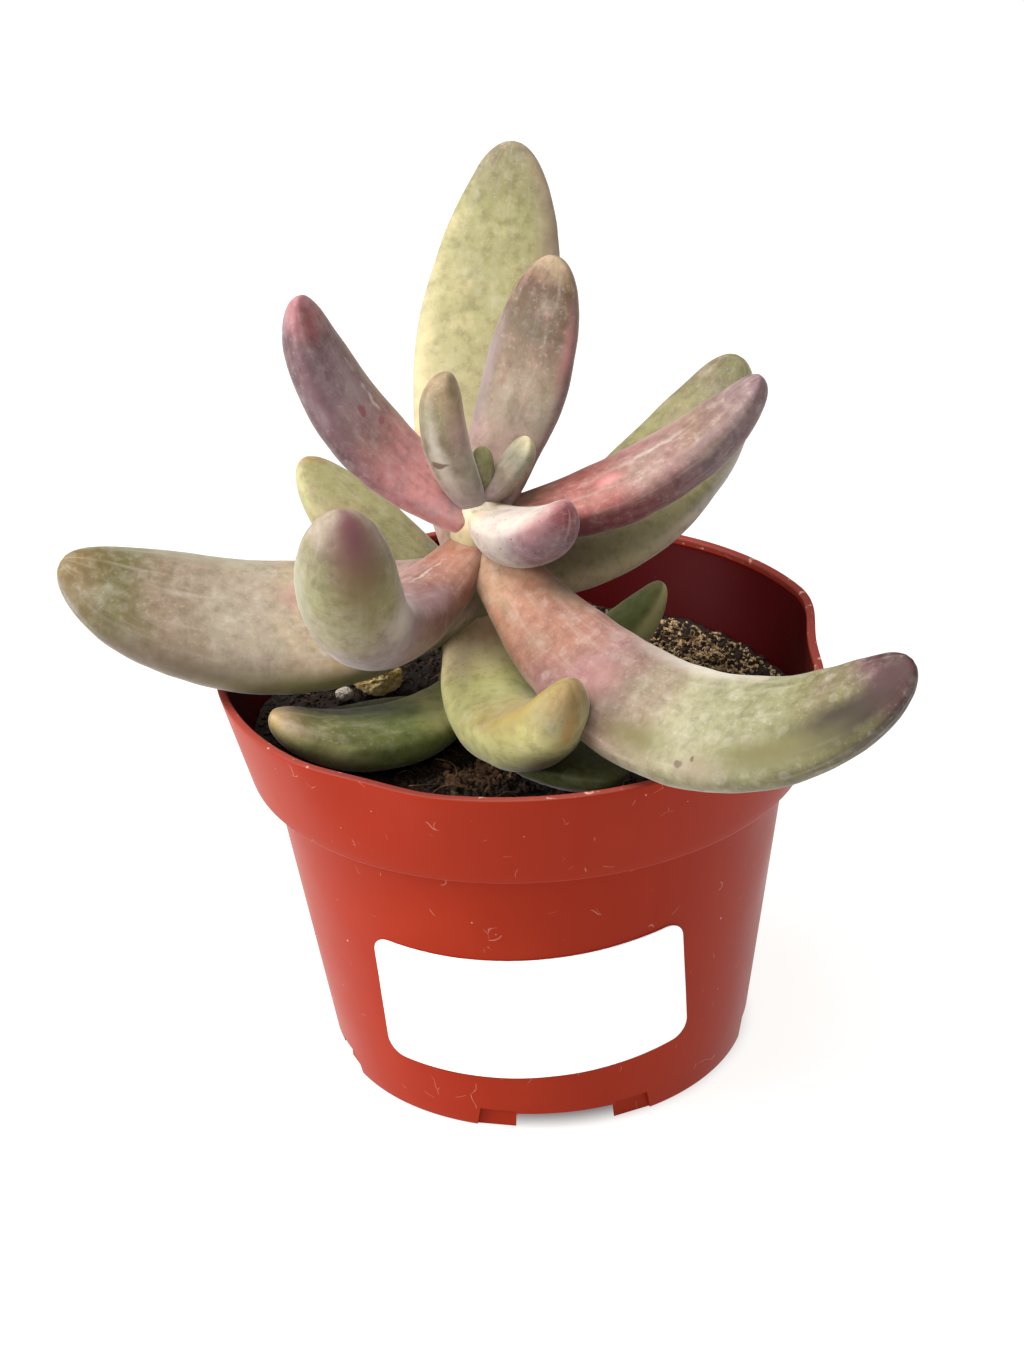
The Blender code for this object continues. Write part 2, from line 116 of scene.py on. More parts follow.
def with_stops(colour, stops):
    """Fills a Color Ramp with its (place, colour) stops."""
    ramp = colour.node.color_ramp
    while len(ramp.elements) < len(stops):
        ramp.elements.new(1.0)
    for element, (position, hex_colour) in zip(ramp.elements, stops):
        element.position = position
        element.color = linear(hex_colour)
    return colour


def dots(add, place, spacing, radius, left_out):
    """Above zero inside the round dots of a random few Voronoi cells, and highest in their middles."""
    cell = add("ShaderNodeTexVoronoi", {"Vector": place, "Scale": per(spacing)}).node
    lot = add("ShaderNodeSeparateColor", (cell.outputs["Color"],))
    chosen = add("ShaderNodeMath", (lot, left_out), operation="GREATER_THAN")
    size = add("ShaderNodeMath", (chosen, radius), operation="MULTIPLY")
    return add("ShaderNodeMath", (size, cell.outputs["Distance"]), operation="SUBTRACT")


# %% [markdown]
# The camera stands in front of the pot and a little above the leaves, and looks down on it. Its place and
# turn are worked out from the rim, the collar's step and the feet in the photograph.

# %% Camera
PHOTO_HEIGHT = 1365
CAMERA_PLACE = (9.3, -447.6, 299.7)
CAMERA_DOWN = 27.17
CAMERA_TURN = 0.305
CAMERA_LEAN = -2.89
FOCAL_PIXELS = 3036.0
SENSOR = 36.0


def new_object(name, data):
    thing = bpy.data.objects.new(name, data)
    bpy.context.collection.objects.link(thing)
    return thing


camera = new_object("camera", bpy.data.cameras.new("camera"))
camera.data.sensor_width = SENSOR
camera.data.lens = FOCAL_PIXELS / PHOTO_HEIGHT * SENSOR
camera.data.clip_start = 0.01
camera.location = Vector(CAMERA_PLACE) * MM
turn, lean = (Euler((0.0, 0.0, math.radians(angle))).to_matrix() for angle in (CAMERA_TURN, CAMERA_LEAN))
nod = Euler((math.radians(90.0 - CAMERA_DOWN), 0.0, 0.0)).to_matrix()
camera.rotation_euler = (turn @ nod @ lean).to_euler()
bpy.context.scene.camera = camera
print(f"camera lens {camera.data.lens:.1f} mm")

# %% [markdown]
# Each piece goes in by the same few lines: an object at the origin, unturned, with its place in its mesh.
# It rides on the part's one body, replaces its CAD node, and takes the material it is given, if any.


# %% Piece helpers
def add_piece(name, mesh, material=None, node=None):
    piece = new_object(name, mesh)
    if material is not None:
        mesh.materials.clear()
        mesh.materials.append(material)
    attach(piece, "root")
    if node:
        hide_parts(node)
    return piece


def mesh_from(name, bm):
    bmesh.ops.recalc_face_normals(bm, faces=bm.faces)
    mesh = bpy.data.meshes.new(name)
    bm.to_mesh(mesh)
    bm.free()
    mesh.shade_smooth()
    return mesh


def eased(share):
    """0 below 0, 1 above 1, and smooth between."""
    share = min(1.0, max(0.0, share))
    return share * share * (3.0 - 2.0 * share)


def skinned(name, rings, first, last):
    """A closed skin over rings of points in millimetres, with a pole at either end."""
    bm = bmesh.new()
    rows = [[bm.verts.new(Vector(point) * MM) for point in ring] for ring in rings]
    around = len(rows[0])
    for low, high in zip(rows, rows[1:]):
        for i in range(around):
            j = (i + 1) % around
            bm.faces.new((low[i], low[j], high[j], high[i]))
    for pole, row in ((first, rows[0]), (last, rows[-1])):
        end = bm.verts.new(Vector(pole) * MM)
        for i in range(around):
            bm.faces.new((row[i], row[(i + 1) % around], end))
    return mesh_from(name, bm)


def baked(guide):
    """The guide's evaluated shape as a plain mesh. The guide goes, and its live modifiers with it."""
    bpy.context.view_layer.update()
    shape = guide.evaluated_get(bpy.context.evaluated_depsgraph_get())
    mesh = bpy.data.meshes.new_from_object(shape)
    bpy.data.objects.remove(guide)
    return mesh


# %% [markdown]
# ## The pot
# The pot is one thin moulding, turned about the Z axis: a tapered body, a deep collar that steps out, and a
# flat lip. It is modelled as a lathe would cut it: an outline of radii and heights that a Screw turns.
# The driving sizes are the CAD model's own, so the finer pot lies on its surface.

# %% Pot sizes
POT_AXIS = (9.3, 7.9)
RIM_RADIUS = 52.0
POT_HEIGHT = 72.2
COLLAR_FOOT_RADIUS = 47.5
COLLAR_FOOT_Z = 54.7
BODY_TOP_RADIUS = 44.0
BASE_RADIUS = 36.0
WALL = 1.2
LIP_WIDTH = 1.6
LIP_DEPTH = 1.4
FOOT_HEIGHT = 3.6
FOOT_WIDTH = 1.4
FOOT_DRAFT = 0.2
ROUNDING = 0.45
POT_STEPS = 256
RIM_DENTS = ((88.0, 24.0, 3.1), (-31.5, 16.0, 1.1))


def body_radius(z):
    return BASE_RADIUS + (BODY_TOP_RADIUS - BASE_RADIUS) * z / COLLAR_FOOT_Z


def collar_radius(z):
    share = (z - COLLAR_FOOT_Z) / (POT_HEIGHT - COLLAR_FOOT_Z)
    return COLLAR_FOOT_RADIUS + (RIM_RADIUS - COLLAR_FOOT_RADIUS) * share


def dent_at(angle, z):
    """How far the soft collar is pushed in. Angle is from the front towards +X, in degrees."""
    depth = 0.0
    for middle, half_width, deepest in RIM_DENTS:
        off = abs(angle - middle) / half_width
        if off < 1.0:
            depth += deepest * math.cos(off * math.pi / 2.0) ** 2
    return depth * eased((z - COLLAR_FOOT_Z) / (POT_HEIGHT - COLLAR_FOOT_Z))


# %% Pot outline
def rounded(corner, before, after, radius, steps=4):
    """Points of a rounded corner between two straight runs of an outline."""
    corner, before, after = Vector(corner), Vector(before), Vector(after)
    radius = min(radius, (before - corner).length / 2.0, (after - corner).length / 2.0)
    start = corner + (before - corner).normalized() * radius
    end = corner + (after - corner).normalized() * radius
    shares = [step / steps for step in range(steps + 1)]
    return [tuple(start.lerp(corner, share).lerp(corner.lerp(end, share), share)) for share in shares]


def pot_outline():
    floor_top = FOOT_HEIGHT + WALL
    ledge_top = COLLAR_FOOT_Z + WALL
    lip_foot = POT_HEIGHT - LIP_DEPTH
    corners = [
        (0.0, floor_top),
        (body_radius(floor_top) - WALL, floor_top),
        (body_radius(ledge_top) - WALL, ledge_top),
        (collar_radius(ledge_top) - WALL, ledge_top),
        (collar_radius(lip_foot) - WALL, lip_foot),
        (RIM_RADIUS - LIP_WIDTH, POT_HEIGHT),
        (RIM_RADIUS, POT_HEIGHT),
        (COLLAR_FOOT_RADIUS, COLLAR_FOOT_Z),
        (BODY_TOP_RADIUS, COLLAR_FOOT_Z),
        (BASE_RADIUS, 0.0),
        (BASE_RADIUS - FOOT_WIDTH, 0.0),
        (body_radius(FOOT_HEIGHT) - FOOT_WIDTH - FOOT_DRAFT, FOOT_HEIGHT),
        (0.0, FOOT_HEIGHT),
    ]
    outline = [corners[0]]
    for before, corner, after in zip(corners, corners[1:], corners[2:]):
        outline += rounded(corner, before, after, ROUNDING)
    outline.append(corners[-1])
    return outline


def with_rows(outline, longest):
    """Splits long straight runs, so that a dent bends them smoothly."""
    points = [outline[0]]
    for start, end in zip(outline, outline[1:]):
        pieces = max(1, math.ceil(math.dist(start, end) / longest))
        points += [tuple(Vector(start).lerp(Vector(end), step / pieces)) for step in range(1, pieces + 1)]
    return points


# %% [markdown]
# The foot ring has four wide gaps so that water can run off, and a shallow panel pressed in on either side of
# each. A Boolean cuts them, and the drain holes in the floor, from the turned wall. The result is then read
# back as a plain mesh, so nothing live is left on the piece.

# %% Turning and cutting helpers
ROW_LENGTH = 2.0
WELD = 0.01
GAP_COUNT = 4
GAP_FIRST_ANGLE = 5.0
GAP_WIDTH = 17.0
GAP_HEIGHT = 3.3
GAP_TAPER = 0.4
GAP_REACH = 6.0
PANEL_WIDTH = 9.4
PANEL_HEIGHT = 3.9
PANEL_TAPER = 1.7
PANEL_DEPTH = 0.8
PANEL_REACH = 3.2
PANEL_OVERLAP = 1.9
DRAIN_COUNT = 6
DRAIN_RING_RADIUS = 24.0
DRAIN_RADIUS = 2.5
DRAIN_SEGMENTS = 32
DRAIN_CUT = 5.0


def turned(name, outline, steps):
    """An outline of (radius, z) points turned about the Z axis, as an object with a Screw."""
    bm = bmesh.new()
    verts = [bm.verts.new((radius * MM, 0.0, z * MM)) for radius, z in outline]
    for start, end in zip(verts, verts[1:]):
        bm.edges.new((start, end))
    guide = new_object(name, mesh_from(name, bm))
    screw = guide.modifiers.new("turn", "SCREW")
    screw.steps = screw.render_steps = steps
    screw.use_merge_vertices = True
    screw.merge_threshold = WELD * MM
    return guide


def add_block(bm, angle, width, depth, height, taper):
    """A block that stands on the ground, faces outwards at an angle from the front, and narrows upwards."""
    heading = math.radians(angle)
    outward = Vector((math.sin(heading), -math.cos(heading), 0.0))
    across = Vector((-outward.y, outward.x, 0.0))
    near, far = depth
    for vert in bmesh.ops.create_cube(bm, size=2.0)["verts"]:
        side, out, up = vert.co
        half = width / 2.0 - (taper if up > 0.0 else 0.0)
        flat = across * side * half + outward * (far if out > 0.0 else near)
        vert.co = (flat + Vector((0.0, 0.0, height if up > 0.0 else -height))) * MM


# %% Turn and cut the pot
gaps, panels, drains = bmesh.new(), bmesh.new(), bmesh.new()
gap_depth = (BASE_RADIUS - GAP_REACH, BASE_RADIUS + GAP_REACH)
panel_depth = (BASE_RADIUS - PANEL_DEPTH, BASE_RADIUS + PANEL_REACH)
beside = math.degrees(((GAP_WIDTH + PANEL_WIDTH) / 2.0 - PANEL_OVERLAP) / BASE_RADIUS)
for index in range(GAP_COUNT):
    middle = GAP_FIRST_ANGLE + index * 360.0 / GAP_COUNT
    add_block(gaps, middle, GAP_WIDTH, gap_depth, GAP_HEIGHT, GAP_TAPER)
    for angle in (middle - beside, middle + beside):
        add_block(panels, angle, PANEL_WIDTH, panel_depth, PANEL_HEIGHT, PANEL_TAPER)
drain = {"cap_ends": True, "segments": DRAIN_SEGMENTS, "depth": DRAIN_CUT * MM}
drain |= {"radius1": DRAIN_RADIUS * MM, "radius2": DRAIN_RADIUS * MM}
for index in range(DRAIN_COUNT):
    angle = math.radians(index * 360.0 / DRAIN_COUNT)
    hole = bmesh.ops.create_cone(drains, **drain)
    place = Vector((math.cos(angle), math.sin(angle), 0.0)) * DRAIN_RING_RADIUS
    bmesh.ops.translate(drains, verts=hole["verts"], vec=(place + Vector((0.0, 0.0, FOOT_HEIGHT))) * MM)

pot_guide = turned("pot_shell", with_rows(pot_outline(), ROW_LENGTH), POT_STEPS)
shapes = {"gaps": gaps, "panels": panels, "drains": drains}
cutters = [new_object(name, mesh_from(name, bm)) for name, bm in shapes.items()]
for cutter in cutters:
    boolean = pot_guide.modifiers.new(cutter.name, "BOOLEAN")
    boolean.operation = "DIFFERENCE"
    boolean.solver = "EXACT"
    boolean.object = cutter
pot_mesh = baked(pot_guide)
for cutter in cutters:
    bpy.data.objects.remove(cutter)
print("pot faces:", len(pot_mesh.polygons))

# %% [markdown]
# A thin pot is never quite round. The collar is pushed in on the right, where a hand held it, and a little at
# the front left. Two marks are stored for the material: one for the wall's inside, which gets painted shade,
# and one for the lip with a narrow band below it, which gets painted shade and sheen.

# %% Dent the collar and place the pot
LIP_BAND = 1.0
INSIDE_OVERLAP = 0.2
POT_SHARP_ANGLE = 35.0

inside_shade_mark = pot_mesh.attributes.new("inside", "FLOAT", "POINT")
lip_sheen_mark = pot_mesh.attributes.new("lip", "FLOAT", "POINT")
for index, vert in enumerate(pot_mesh.vertices):
    x, y, z = vert.co / MM
    radius = math.hypot(x, y)
    outer = collar_radius(z) if z > COLLAR_FOOT_Z + WALL / 2.0 else body_radius(z)
    inner = radius < outer - WALL / 2.0 and z > FOOT_HEIGHT + WALL / 2.0
    on_lip = z > POT_HEIGHT - ROUNDING / 2.0 or (inner and z > POT_HEIGHT - LIP_BAND)
    inside_shade_mark.data[index].value = float(inner and z < POT_HEIGHT - LIP_DEPTH + INSIDE_OVERLAP)
    lip_sheen_mark.data[index].value = float(on_lip)
    scale = 1.0 - dent_at(math.degrees(math.atan2(x, -y)), z) / max(radius, 1.0)
    vert.co = Vector((x * scale + POT_AXIS[0], y * scale + POT_AXIS[1], z)) * MM
pot_mesh.shade_smooth()
pot_mesh.set_sharp_from_angle(angle=math.radians(POT_SHARP_ANGLE))

# %% [markdown]
# The plastic is injection-moulded polypropylene in terracotta red: a satin skin, not a gloss. Its lip is
# painted a duller, pinker red for shade and sheen, with pale painted glints. Handling has left pale dust
# specks and short curved scratches on it.
# Specks are small Voronoi cells, of which a random few are kept, and scratches are stretches of Voronoi cell
# edges, bent by noise. The deep red painted shade of the inside goes on last, so it hides them there.

# %% Polypropylene of the pot
POT_RED = "#9A270B"
POT_RUBBED = "#A63114"
POT_LIP_SHADE_AND_SHEEN = "#8A3A31"
POT_INSIDE_SHADE = "#40060C"
# Pale dust colour, also used for the painted glints on the lip.
DUST_AND_GLINT = "#E8BBA8"
CLOUD_SIZE = 22.0
GLINT_SIZE = 1.8
PEEL_SIZE = 0.9
SCRATCH_CELL = 9.0
SCRATCH_LENGTH = 3.2
BEND_SIZE = 7.0
BEND = 12.0
Speck = namedtuple("Speck", "spacing radius left_out strength")
SPECKS = (Speck(2.6, 0.05, 0.8, 0.55), Speck(7.0, 0.035, 0.6, 0.9))

plastic, add, shader, place = new_material("moulded polypropylene, terracotta red")
clouds = add("ShaderNodeTexNoise", {"Vector": place, "Scale": per(CLOUD_SIZE), "Detail": 4.0})
colour = tinted(add, POT_RED, POT_RUBBED, clouds, 0.45, 0.75, 0.5)
# Painted shade and sheen: the lip band is coloured a duller, pinker red.
lip = add("ShaderNodeAttribute", output="Fac", attribute_name="lip")
colour = tinted(add, colour, POT_LIP_SHADE_AND_SHEEN, lip, 0.0, 1.0)
# Painted glints: pale dashes of the dust colour along the lip.
lip_glints = add("ShaderNodeTexNoise", {"Vector": place, "Scale": per(GLINT_SIZE), "Detail": 2.0})
lip_glints = add("ShaderNodeMapRange", (lip_glints, 0.62, 0.7, 0.0, 1.0))
lip_glints = add("ShaderNodeMath", (lip_glints, lip), operation="MULTIPLY")
colour = tinted(add, colour, DUST_AND_GLINT, lip_glints, 0.0, 1.0, 0.6)
for speck in SPECKS:
    colour = tinted(add, colour, DUST_AND_GLINT, dots(add, place, *speck[:3]), 0.0, 0.02, speck.strength)
bends = add("ShaderNodeTexNoise", {"Vector": place, "Scale": per(BEND_SIZE), "Detail": 1.0}, "Color")
bent = add("ShaderNodeVectorMath", (bends, (BEND * MM,) * 3, place), operation="MULTIPLY_ADD")
cells = {"Vector": bent, "Scale": per(SCRATCH_CELL)}
edges = add("ShaderNodeTexVoronoi", cells, feature="DISTANCE_TO_EDGE")
stretches = add("ShaderNodeTexNoise", {"Vector": place, "Scale": per(SCRATCH_LENGTH), "Detail": 0.0})
edges = add("ShaderNodeMapRange", (edges, 0.002, 0.008, 1.0, 0.0))
stretches = add("ShaderNodeMapRange", (stretches, 0.67, 0.72, 0.0, 1.0))
scratches = add("ShaderNodeMath", (edges, stretches), operation="MULTIPLY")
colour = tinted(add, colour, DUST_AND_GLINT, scratches, 0.0, 1.0, 0.3)
# Painted shade: the inside of the wall is coloured a deep dark red.
inside = add("ShaderNodeAttribute", output="Fac", attribute_name="inside")
colour = tinted(add, colour, POT_INSIDE_SHADE, inside, 0.0, 1.0, 0.95)
gloss = add("ShaderNodeMapRange", (clouds, 0.3, 0.7, 0.3, 0.42))
peel = add("ShaderNodeTexNoise", {"Vector": place, "Scale": per(PEEL_SIZE), "Detail": 2.0})
bump = add("ShaderNodeBump", {"Height": peel, "Strength": 0.15, "Distance": 0.05 * MM})
fill(shader, {"Base Color": colour, "Roughness": gloss, "Normal": bump})
fill(shader, {"IOR": 1.49, "Specular IOR Level": 0.1})
pot = add_piece("pot_shell", pot_mesh, plastic, "pot")
print("pot plastic:", pot.data.materials[0].name)

# %% [markdown]
# ## The leaves
# Each leaf is a fat blade that leaves the stem at a height, and turns and lifts as it grows. The CAD model
# draws it from a few numbers: where it points at its foot and at its tip, how long, wide and thick it is, and
# how blunt its end is. The same numbers are repeated here, with the depth of the hollow along its upper face.
# Only the front hook differs: its end is blunter than the solid's, like a thumb.

# %% Leaf table
Leaf = namedtuple(
    "Leaf",
    "name height heading rise length width thickness roll twist sway bend foot widest tip hollow",
    defaults=(0.0, 0.0, 1.0, 1.0, 0.45, 0.5, 2.0, 0.4),
)
STEM_AXIS = ((-12.0, 4.0, 40.0), (-11.0, 3.0, 59.0), (-8.0, 0.0, 80.0), (-6.0, -3.0, 101.0))
LEAVES = (
    Leaf("leaf_back_tall", 89, (97, 44), (32, 80), 74, 23.5, 9, twist=25, foot=0.4, widest=0.56, tip=1.7),
    Leaf("leaf_back_inner", 96, (60, 30), (50, 74), 46, 16, 8, twist=20, widest=0.6),
    Leaf(
        "leaf_left_upper", 98, (163, 162), (24, 80), 48, 15, 10,
        roll=-10, foot=0.55, widest=0.45, hollow=1.0,
    ),
    Leaf("leaf_young_upright", 100, (190, 165), (65, 95), 24, 9, 8, foot=0.5, tip=2.6),
    Leaf("leaf_young_small", 101, (20, 20), (38, 55), 13, 7, 5, foot=0.5, widest=0.6, tip=2.6),
    Leaf("leaf_bud", 102, (75, 75), (60, 80), 8, 4, 3.5, foot=0.5, tip=2.4, hollow=0.1),
    Leaf("leaf_front_cup", 99, (-56, -36), (-14, 50), 22.5, 12, 10, foot=0.5, tip=2.2, hollow=0.6),
    Leaf("leaf_right_upper", 97, (4, 4), (4, 50), 53, 14, 10, roll=10, bend=1.2, foot=0.5, hollow=1.0),
    Leaf("leaf_right_behind", 87, (26, 34), (-7, 60), 62, 21, 12, roll=15),
    Leaf("leaf_left_behind", 76, (128, 150), (15, 46), 44, 18, 9),
    Leaf("leaf_front_hook", 94, (-138, -82), (-33, 88), 64, 16.5, 13, tip=4.6),
    Leaf("leaf_left_long", 86, (-170, -180), (-22, 38), 71.5, 25, 14, roll=-30),
    Leaf(
        "leaf_right_long", 94, (-60, 0), (-25, 48), 98, 20.5, 12,
        roll=30, sway=2.4, bend=1.6, foot=0.38, widest=0.6, tip=2.2,
    ),
    Leaf("leaf_front_curled", 82, (-90, -52), (-49, 64), 55, 17, 12, tip=2.2, hollow=0.8),
    Leaf("leaf_low_left", 66, (-118, -178), (-16, 32), 41, 16, 9, tip=2.2, hollow=0.6),
    Leaf("leaf_low_front", 65, (-62, -50), (-4, 5), 44, 16, 8, tip=2.2),
    Leaf("leaf_low_right", 67, (18, 22), (-22, 52), 40, 12, 8),
    Leaf("leaf_low_hidden", 62, (-160, -170), (0, 2), 34, 9, 5),
)


def stem_point(z):
    """The stem's middle at a height, in millimetres of the part's frame."""
    axis = np.array(STEM_AXIS)
    x, y = (float(np.interp(z, axis[:, 2], axis[:, side])) for side in (0, 1))
    return Vector((x + POT_AXIS[0], y + POT_AXIS[1], z))


print("leaves:", len(LEAVES))

# %% [markdown]
# Leaves and crumbs both grow by a rule: one Geometry Nodes tree, whose named inputs hold what differs from
# one to the next. Its inputs are set by each socket's identifier before the object is first evaluated, and
# the result becomes a plain mesh.


# %% Rule helpers
def new_rule(name, inputs):
    """A Geometry Nodes tree with named inputs, with its node adder and the sockets that its inputs give."""
    rule = bpy.data.node_groups.new(name, "GeometryNodeTree")
    for label, kind in (("Geometry", "Geometry"), *inputs):
        rule.interface.new_socket(label, in_out="INPUT", socket_type=f"NodeSocket{kind}")
    rule.interface.new_socket("Geometry", in_out="OUTPUT", socket_type="NodeSocketGeometry")
    add = partial(add_node, rule)
    return rule, add, add("NodeGroupInput").node.outputs


def grown(name, rule, start, values):
    """The mesh that a rule makes of a start mesh and its input values."""
    guide = new_object(name, start)
    growth = guide.modifiers.new("growth", "NODES")
    growth.node_group = rule
    sockets = {item.name: item.identifier for item in rule.interface.items_tree if item.in_out == "INPUT"}
    for label, value in values.items():
        growth[sockets[label]] = value
    return baked(guide)


# %% [markdown]
# The leaf's shape follows one rule, so one tree grows all eighteen. It could be sculpted, but then no leaf
# would stay near its numbers. The tree's inputs are the columns of the table. First comes a helper for the
# direction that a leaf has at a share of its length: sway and bend put the turn off towards the tip, and a
# rotation holds the roll, the rise and the heading together.

# %% Leaf tree: inputs and direction
NUMBERS = (
    "Heading Foot", "Heading Tip", "Rise Foot", "Rise Tip", "Length", "Width", "Thickness", "Roll", "Twist",
    "Sway", "Bend", "Foot Share", "Widest", "Tip", "Hollow",
)
PATH_POINTS = 121
END_CROWDING = 0.6
UPPER_SHARE = 0.7
THICK_OUTLINE = (0.55, 0.5, 2.6)
FOOT_CLOSING = 0.04
LEAF_SEGMENTS = 72
LEAF_RINGS = 110

leaf_inputs = (("Foot", "Vector"), *((label, "Float") for label in NUMBERS), ("Skin", "Material"))
leaf_rule, add, given = new_rule("leaf", leaf_inputs)


def direction_at(along, rolled):
    """The leaf's rotation at a share of its length. Angles come in degrees."""
    swayed = add("ShaderNodeMath", (along, given["Sway"]), operation="POWER")
    bent = add("ShaderNodeMath", (along, given["Bend"]), operation="POWER")
    heading = add("ShaderNodeMapRange", (swayed, 0.0, 1.0, given["Heading Foot"], given["Heading Tip"]))
    rise = add("ShaderNodeMapRange", (bent, 0.0, 1.0, given["Rise Foot"], given["Rise Tip"]))
    down = add("ShaderNodeMath", (rise, -1.0), operation="MULTIPLY")
    roll = add("ShaderNodeMath", (given["Twist"], along, given["Roll"]), operation="MULTIPLY_ADD")
    degrees = add("ShaderNodeCombineXYZ", (roll if rolled else 0.0, down, heading))
    angles = add("ShaderNodeVectorMath", {0: degrees, "Scale": math.radians(1.0)}, operation="SCALE")
    return add("FunctionNodeEulerToRotation", (angles,))


# %% [markdown]
# The middle line is found by adding up small equal steps, each in the leaf's direction at that point. An
# Accumulate Field does the adding, over the points of a plain line, which then becomes a curve to sample.

# %% Leaf tree: middle line
line = add("GeometryNodeMeshLine", {"Count": PATH_POINTS})
index = add("GeometryNodeInputIndex")
half_way = add("ShaderNodeMath", (index, 0.5), operation="ADD")
step_share = add("ShaderNodeMath", (half_way, PATH_POINTS - 1), operation="DIVIDE")
step_length = add("ShaderNodeMath", (given["Length"], PATH_POINTS - 1), operation="DIVIDE")
forwards = add("ShaderNodeCombineXYZ", (step_length, 0.0, 0.0))
step = add("FunctionNodeRotateVector", (forwards, direction_at(step_share, False)))
travelled = add("GeometryNodeAccumulateField", {"Value": step}, "Trailing", data_type="FLOAT_VECTOR")
placed = add("ShaderNodeVectorMath", (travelled, given["Foot"]), operation="ADD")
line = add("GeometryNodeSetPosition", {"Geometry": line, "Position": placed})
middle_line = add("GeometryNodeMeshToCurve", (line,))

# %% [markdown]
# A ball then becomes the skin. Its height says how far along the leaf a point lies, with the ends crowded,
# and its angle says how far across and above. The width has an outline of its own, and so has the thickness:
# a quarter sine up to the widest place, a rounded end, and a small closed foot.

# %% Leaf tree: outlines
ball = add("GeometryNodeMeshUVSphere", (LEAF_SEGMENTS, LEAF_RINGS, 1.0))
spot = add("GeometryNodeInputPosition")
spot_z = add("ShaderNodeSeparateXYZ", (spot,), "Z")
even = add("ShaderNodeMath", (spot_z, -1.0), operation="MULTIPLY")
even = add("ShaderNodeMath", (even,), operation="ARCCOSINE")
even = add("ShaderNodeMapRange", (even, 0.0, math.pi, 0.0, 1.0 - END_CROWDING))
crowded = add("ShaderNodeMapRange", (spot_z, -1.0, 1.0, 0.0, END_CROWDING))
at = add("ShaderNodeMath", (even, crowded), operation="ADD", use_clamp=True)
flat_spot = add("ShaderNodeVectorMath", (spot, (1.0, 1.0, 0.0)), operation="MULTIPLY")
around = add("ShaderNodeVectorMath", (flat_spot,), operation="NORMALIZE")
around = add("ShaderNodeSeparateXYZ", (around,)).node.outputs


def outline_at(foot, widest, tip):
    """The share of the full width or thickness at a place along the leaf."""
    growing = add("ShaderNodeMapRange", (at, 0.0, widest, 0.0, math.pi / 2.0))
    growing = add("ShaderNodeMath", (growing,), operation="SINE")
    growing = add("ShaderNodeMapRange", (growing, 0.0, 1.0, foot, 1.0))
    ending = add("ShaderNodeMapRange", (at, widest, 1.0, 0.0, 1.0))
    closing = add("ShaderNodeMapRange", (at, 0.0, FOOT_CLOSING, 1.0, 0.0))
    for distance, power in ((ending, tip), (closing, 2.0)):
        taken = add("ShaderNodeMath", (distance, power), operation="POWER")
        rest = add("ShaderNodeMath", (1.0, taken), operation="SUBTRACT", use_clamp=True)
        root = add("ShaderNodeMath", (rest,), operation="SQRT")
        growing = add("ShaderNodeMath", (growing, root), operation="MULTIPLY")
    return growing


wide_share = outline_at(given["Foot Share"], given["Widest"], given["Tip"])
thick_share = outline_at(*THICK_OUTLINE)
half_width = add("ShaderNodeMath", (given["Width"], 0.5), operation="MULTIPLY")
half_width = add("ShaderNodeMath", (half_width, wide_share), operation="MULTIPLY")
half_thick = add("ShaderNodeMath", (given["Thickness"], 0.5), operation="MULTIPLY")
half_thick = add("ShaderNodeMath", (half_thick, thick_share), operation="MULTIPLY")

# %% [markdown]
# The cross-section is an oval, flatter above than below, and most upper faces are a little hollow along the
# middle. It is turned by the leaf's direction and carried to the middle line. A grown skin also swells and
# sinks by a few tenths of a millimetre. How far across, along and above each point lies is stored for the
# material.

# %% Leaf tree: skin
SWELLS = ((11.0, 0.45), (3.0, 0.06))

lower = add("ShaderNodeMath", (around["Y"],), operation="ABSOLUTE")
lobe = add("ShaderNodeMath", (lower, UPPER_SHARE - 1.0, around["Y"]), operation="MULTIPLY_ADD")
face = add("ShaderNodeMath", (around["Y"], 0.0), operation="MAXIMUM")
face = add("ShaderNodeMath", (face, 3.0), operation="POWER")
dip = add("ShaderNodeMath", (given["Hollow"], face), operation="MULTIPLY")
dip = add("ShaderNodeMath", (dip, wide_share), operation="MULTIPLY")
high = add("ShaderNodeMath", (lobe, half_thick), operation="MULTIPLY")
high = add("ShaderNodeMath", (high, dip), operation="SUBTRACT")
wide = add("ShaderNodeMath", (around["X"], half_width), operation="MULTIPLY")
section = add("ShaderNodeCombineXYZ", (0.0, wide, high))
section = add("FunctionNodeRotateVector", (section, direction_at(at, True)))
sampled = {"Curves": middle_line, "Factor": at}
carrier = add("GeometryNodeSampleCurve", sampled, "Position", mode="FACTOR")
skin_place = add("ShaderNodeVectorMath", (section, carrier), operation="ADD")
way = add("ShaderNodeCombineXYZ", (around["X"], at, around["Y"]))
stored = {"Geometry": ball, "Name": "way", "Value": way}
marked = add("GeometryNodeStoreNamedAttribute", stored, data_type="FLOAT_VECTOR")
skin = add("GeometryNodeSetPosition", {"Geometry": marked, "Position": skin_place})
for size, amount in SWELLS:
    swell = add("ShaderNodeTexNoise", {"Vector": spot, "Scale": per(size), "Detail": 1.0})
    swell = add("ShaderNodeMapRange", (swell, 0.0, 1.0, -amount * MM, amount * MM))
    outwards = add("GeometryNodeInputNormal")
    push = add("ShaderNodeVectorMath", {0: outwards, "Scale": swell}, operation="SCALE")
    skin = add("GeometryNodeSetPosition", {"Geometry": skin, "Offset": push})
skin = add("GeometryNodeRealizeInstances", (skin,))
skin = add("GeometryNodeSetShadeSmooth", (skin,))
skin = add("GeometryNodeSetMaterial", {"Geometry": skin, "Material": given["Skin"]})
add("NodeGroupOutput", (skin,))
print("leaf tree nodes:", len(leaf_rule.nodes))

# %% [markdown]
# The skin is waxy and matt, with a pale powder over it. Light draws the pink out: the upper leaves blush, and
# the low leaves in the shade stay green. All colours come from one small palette, named as a painter would.

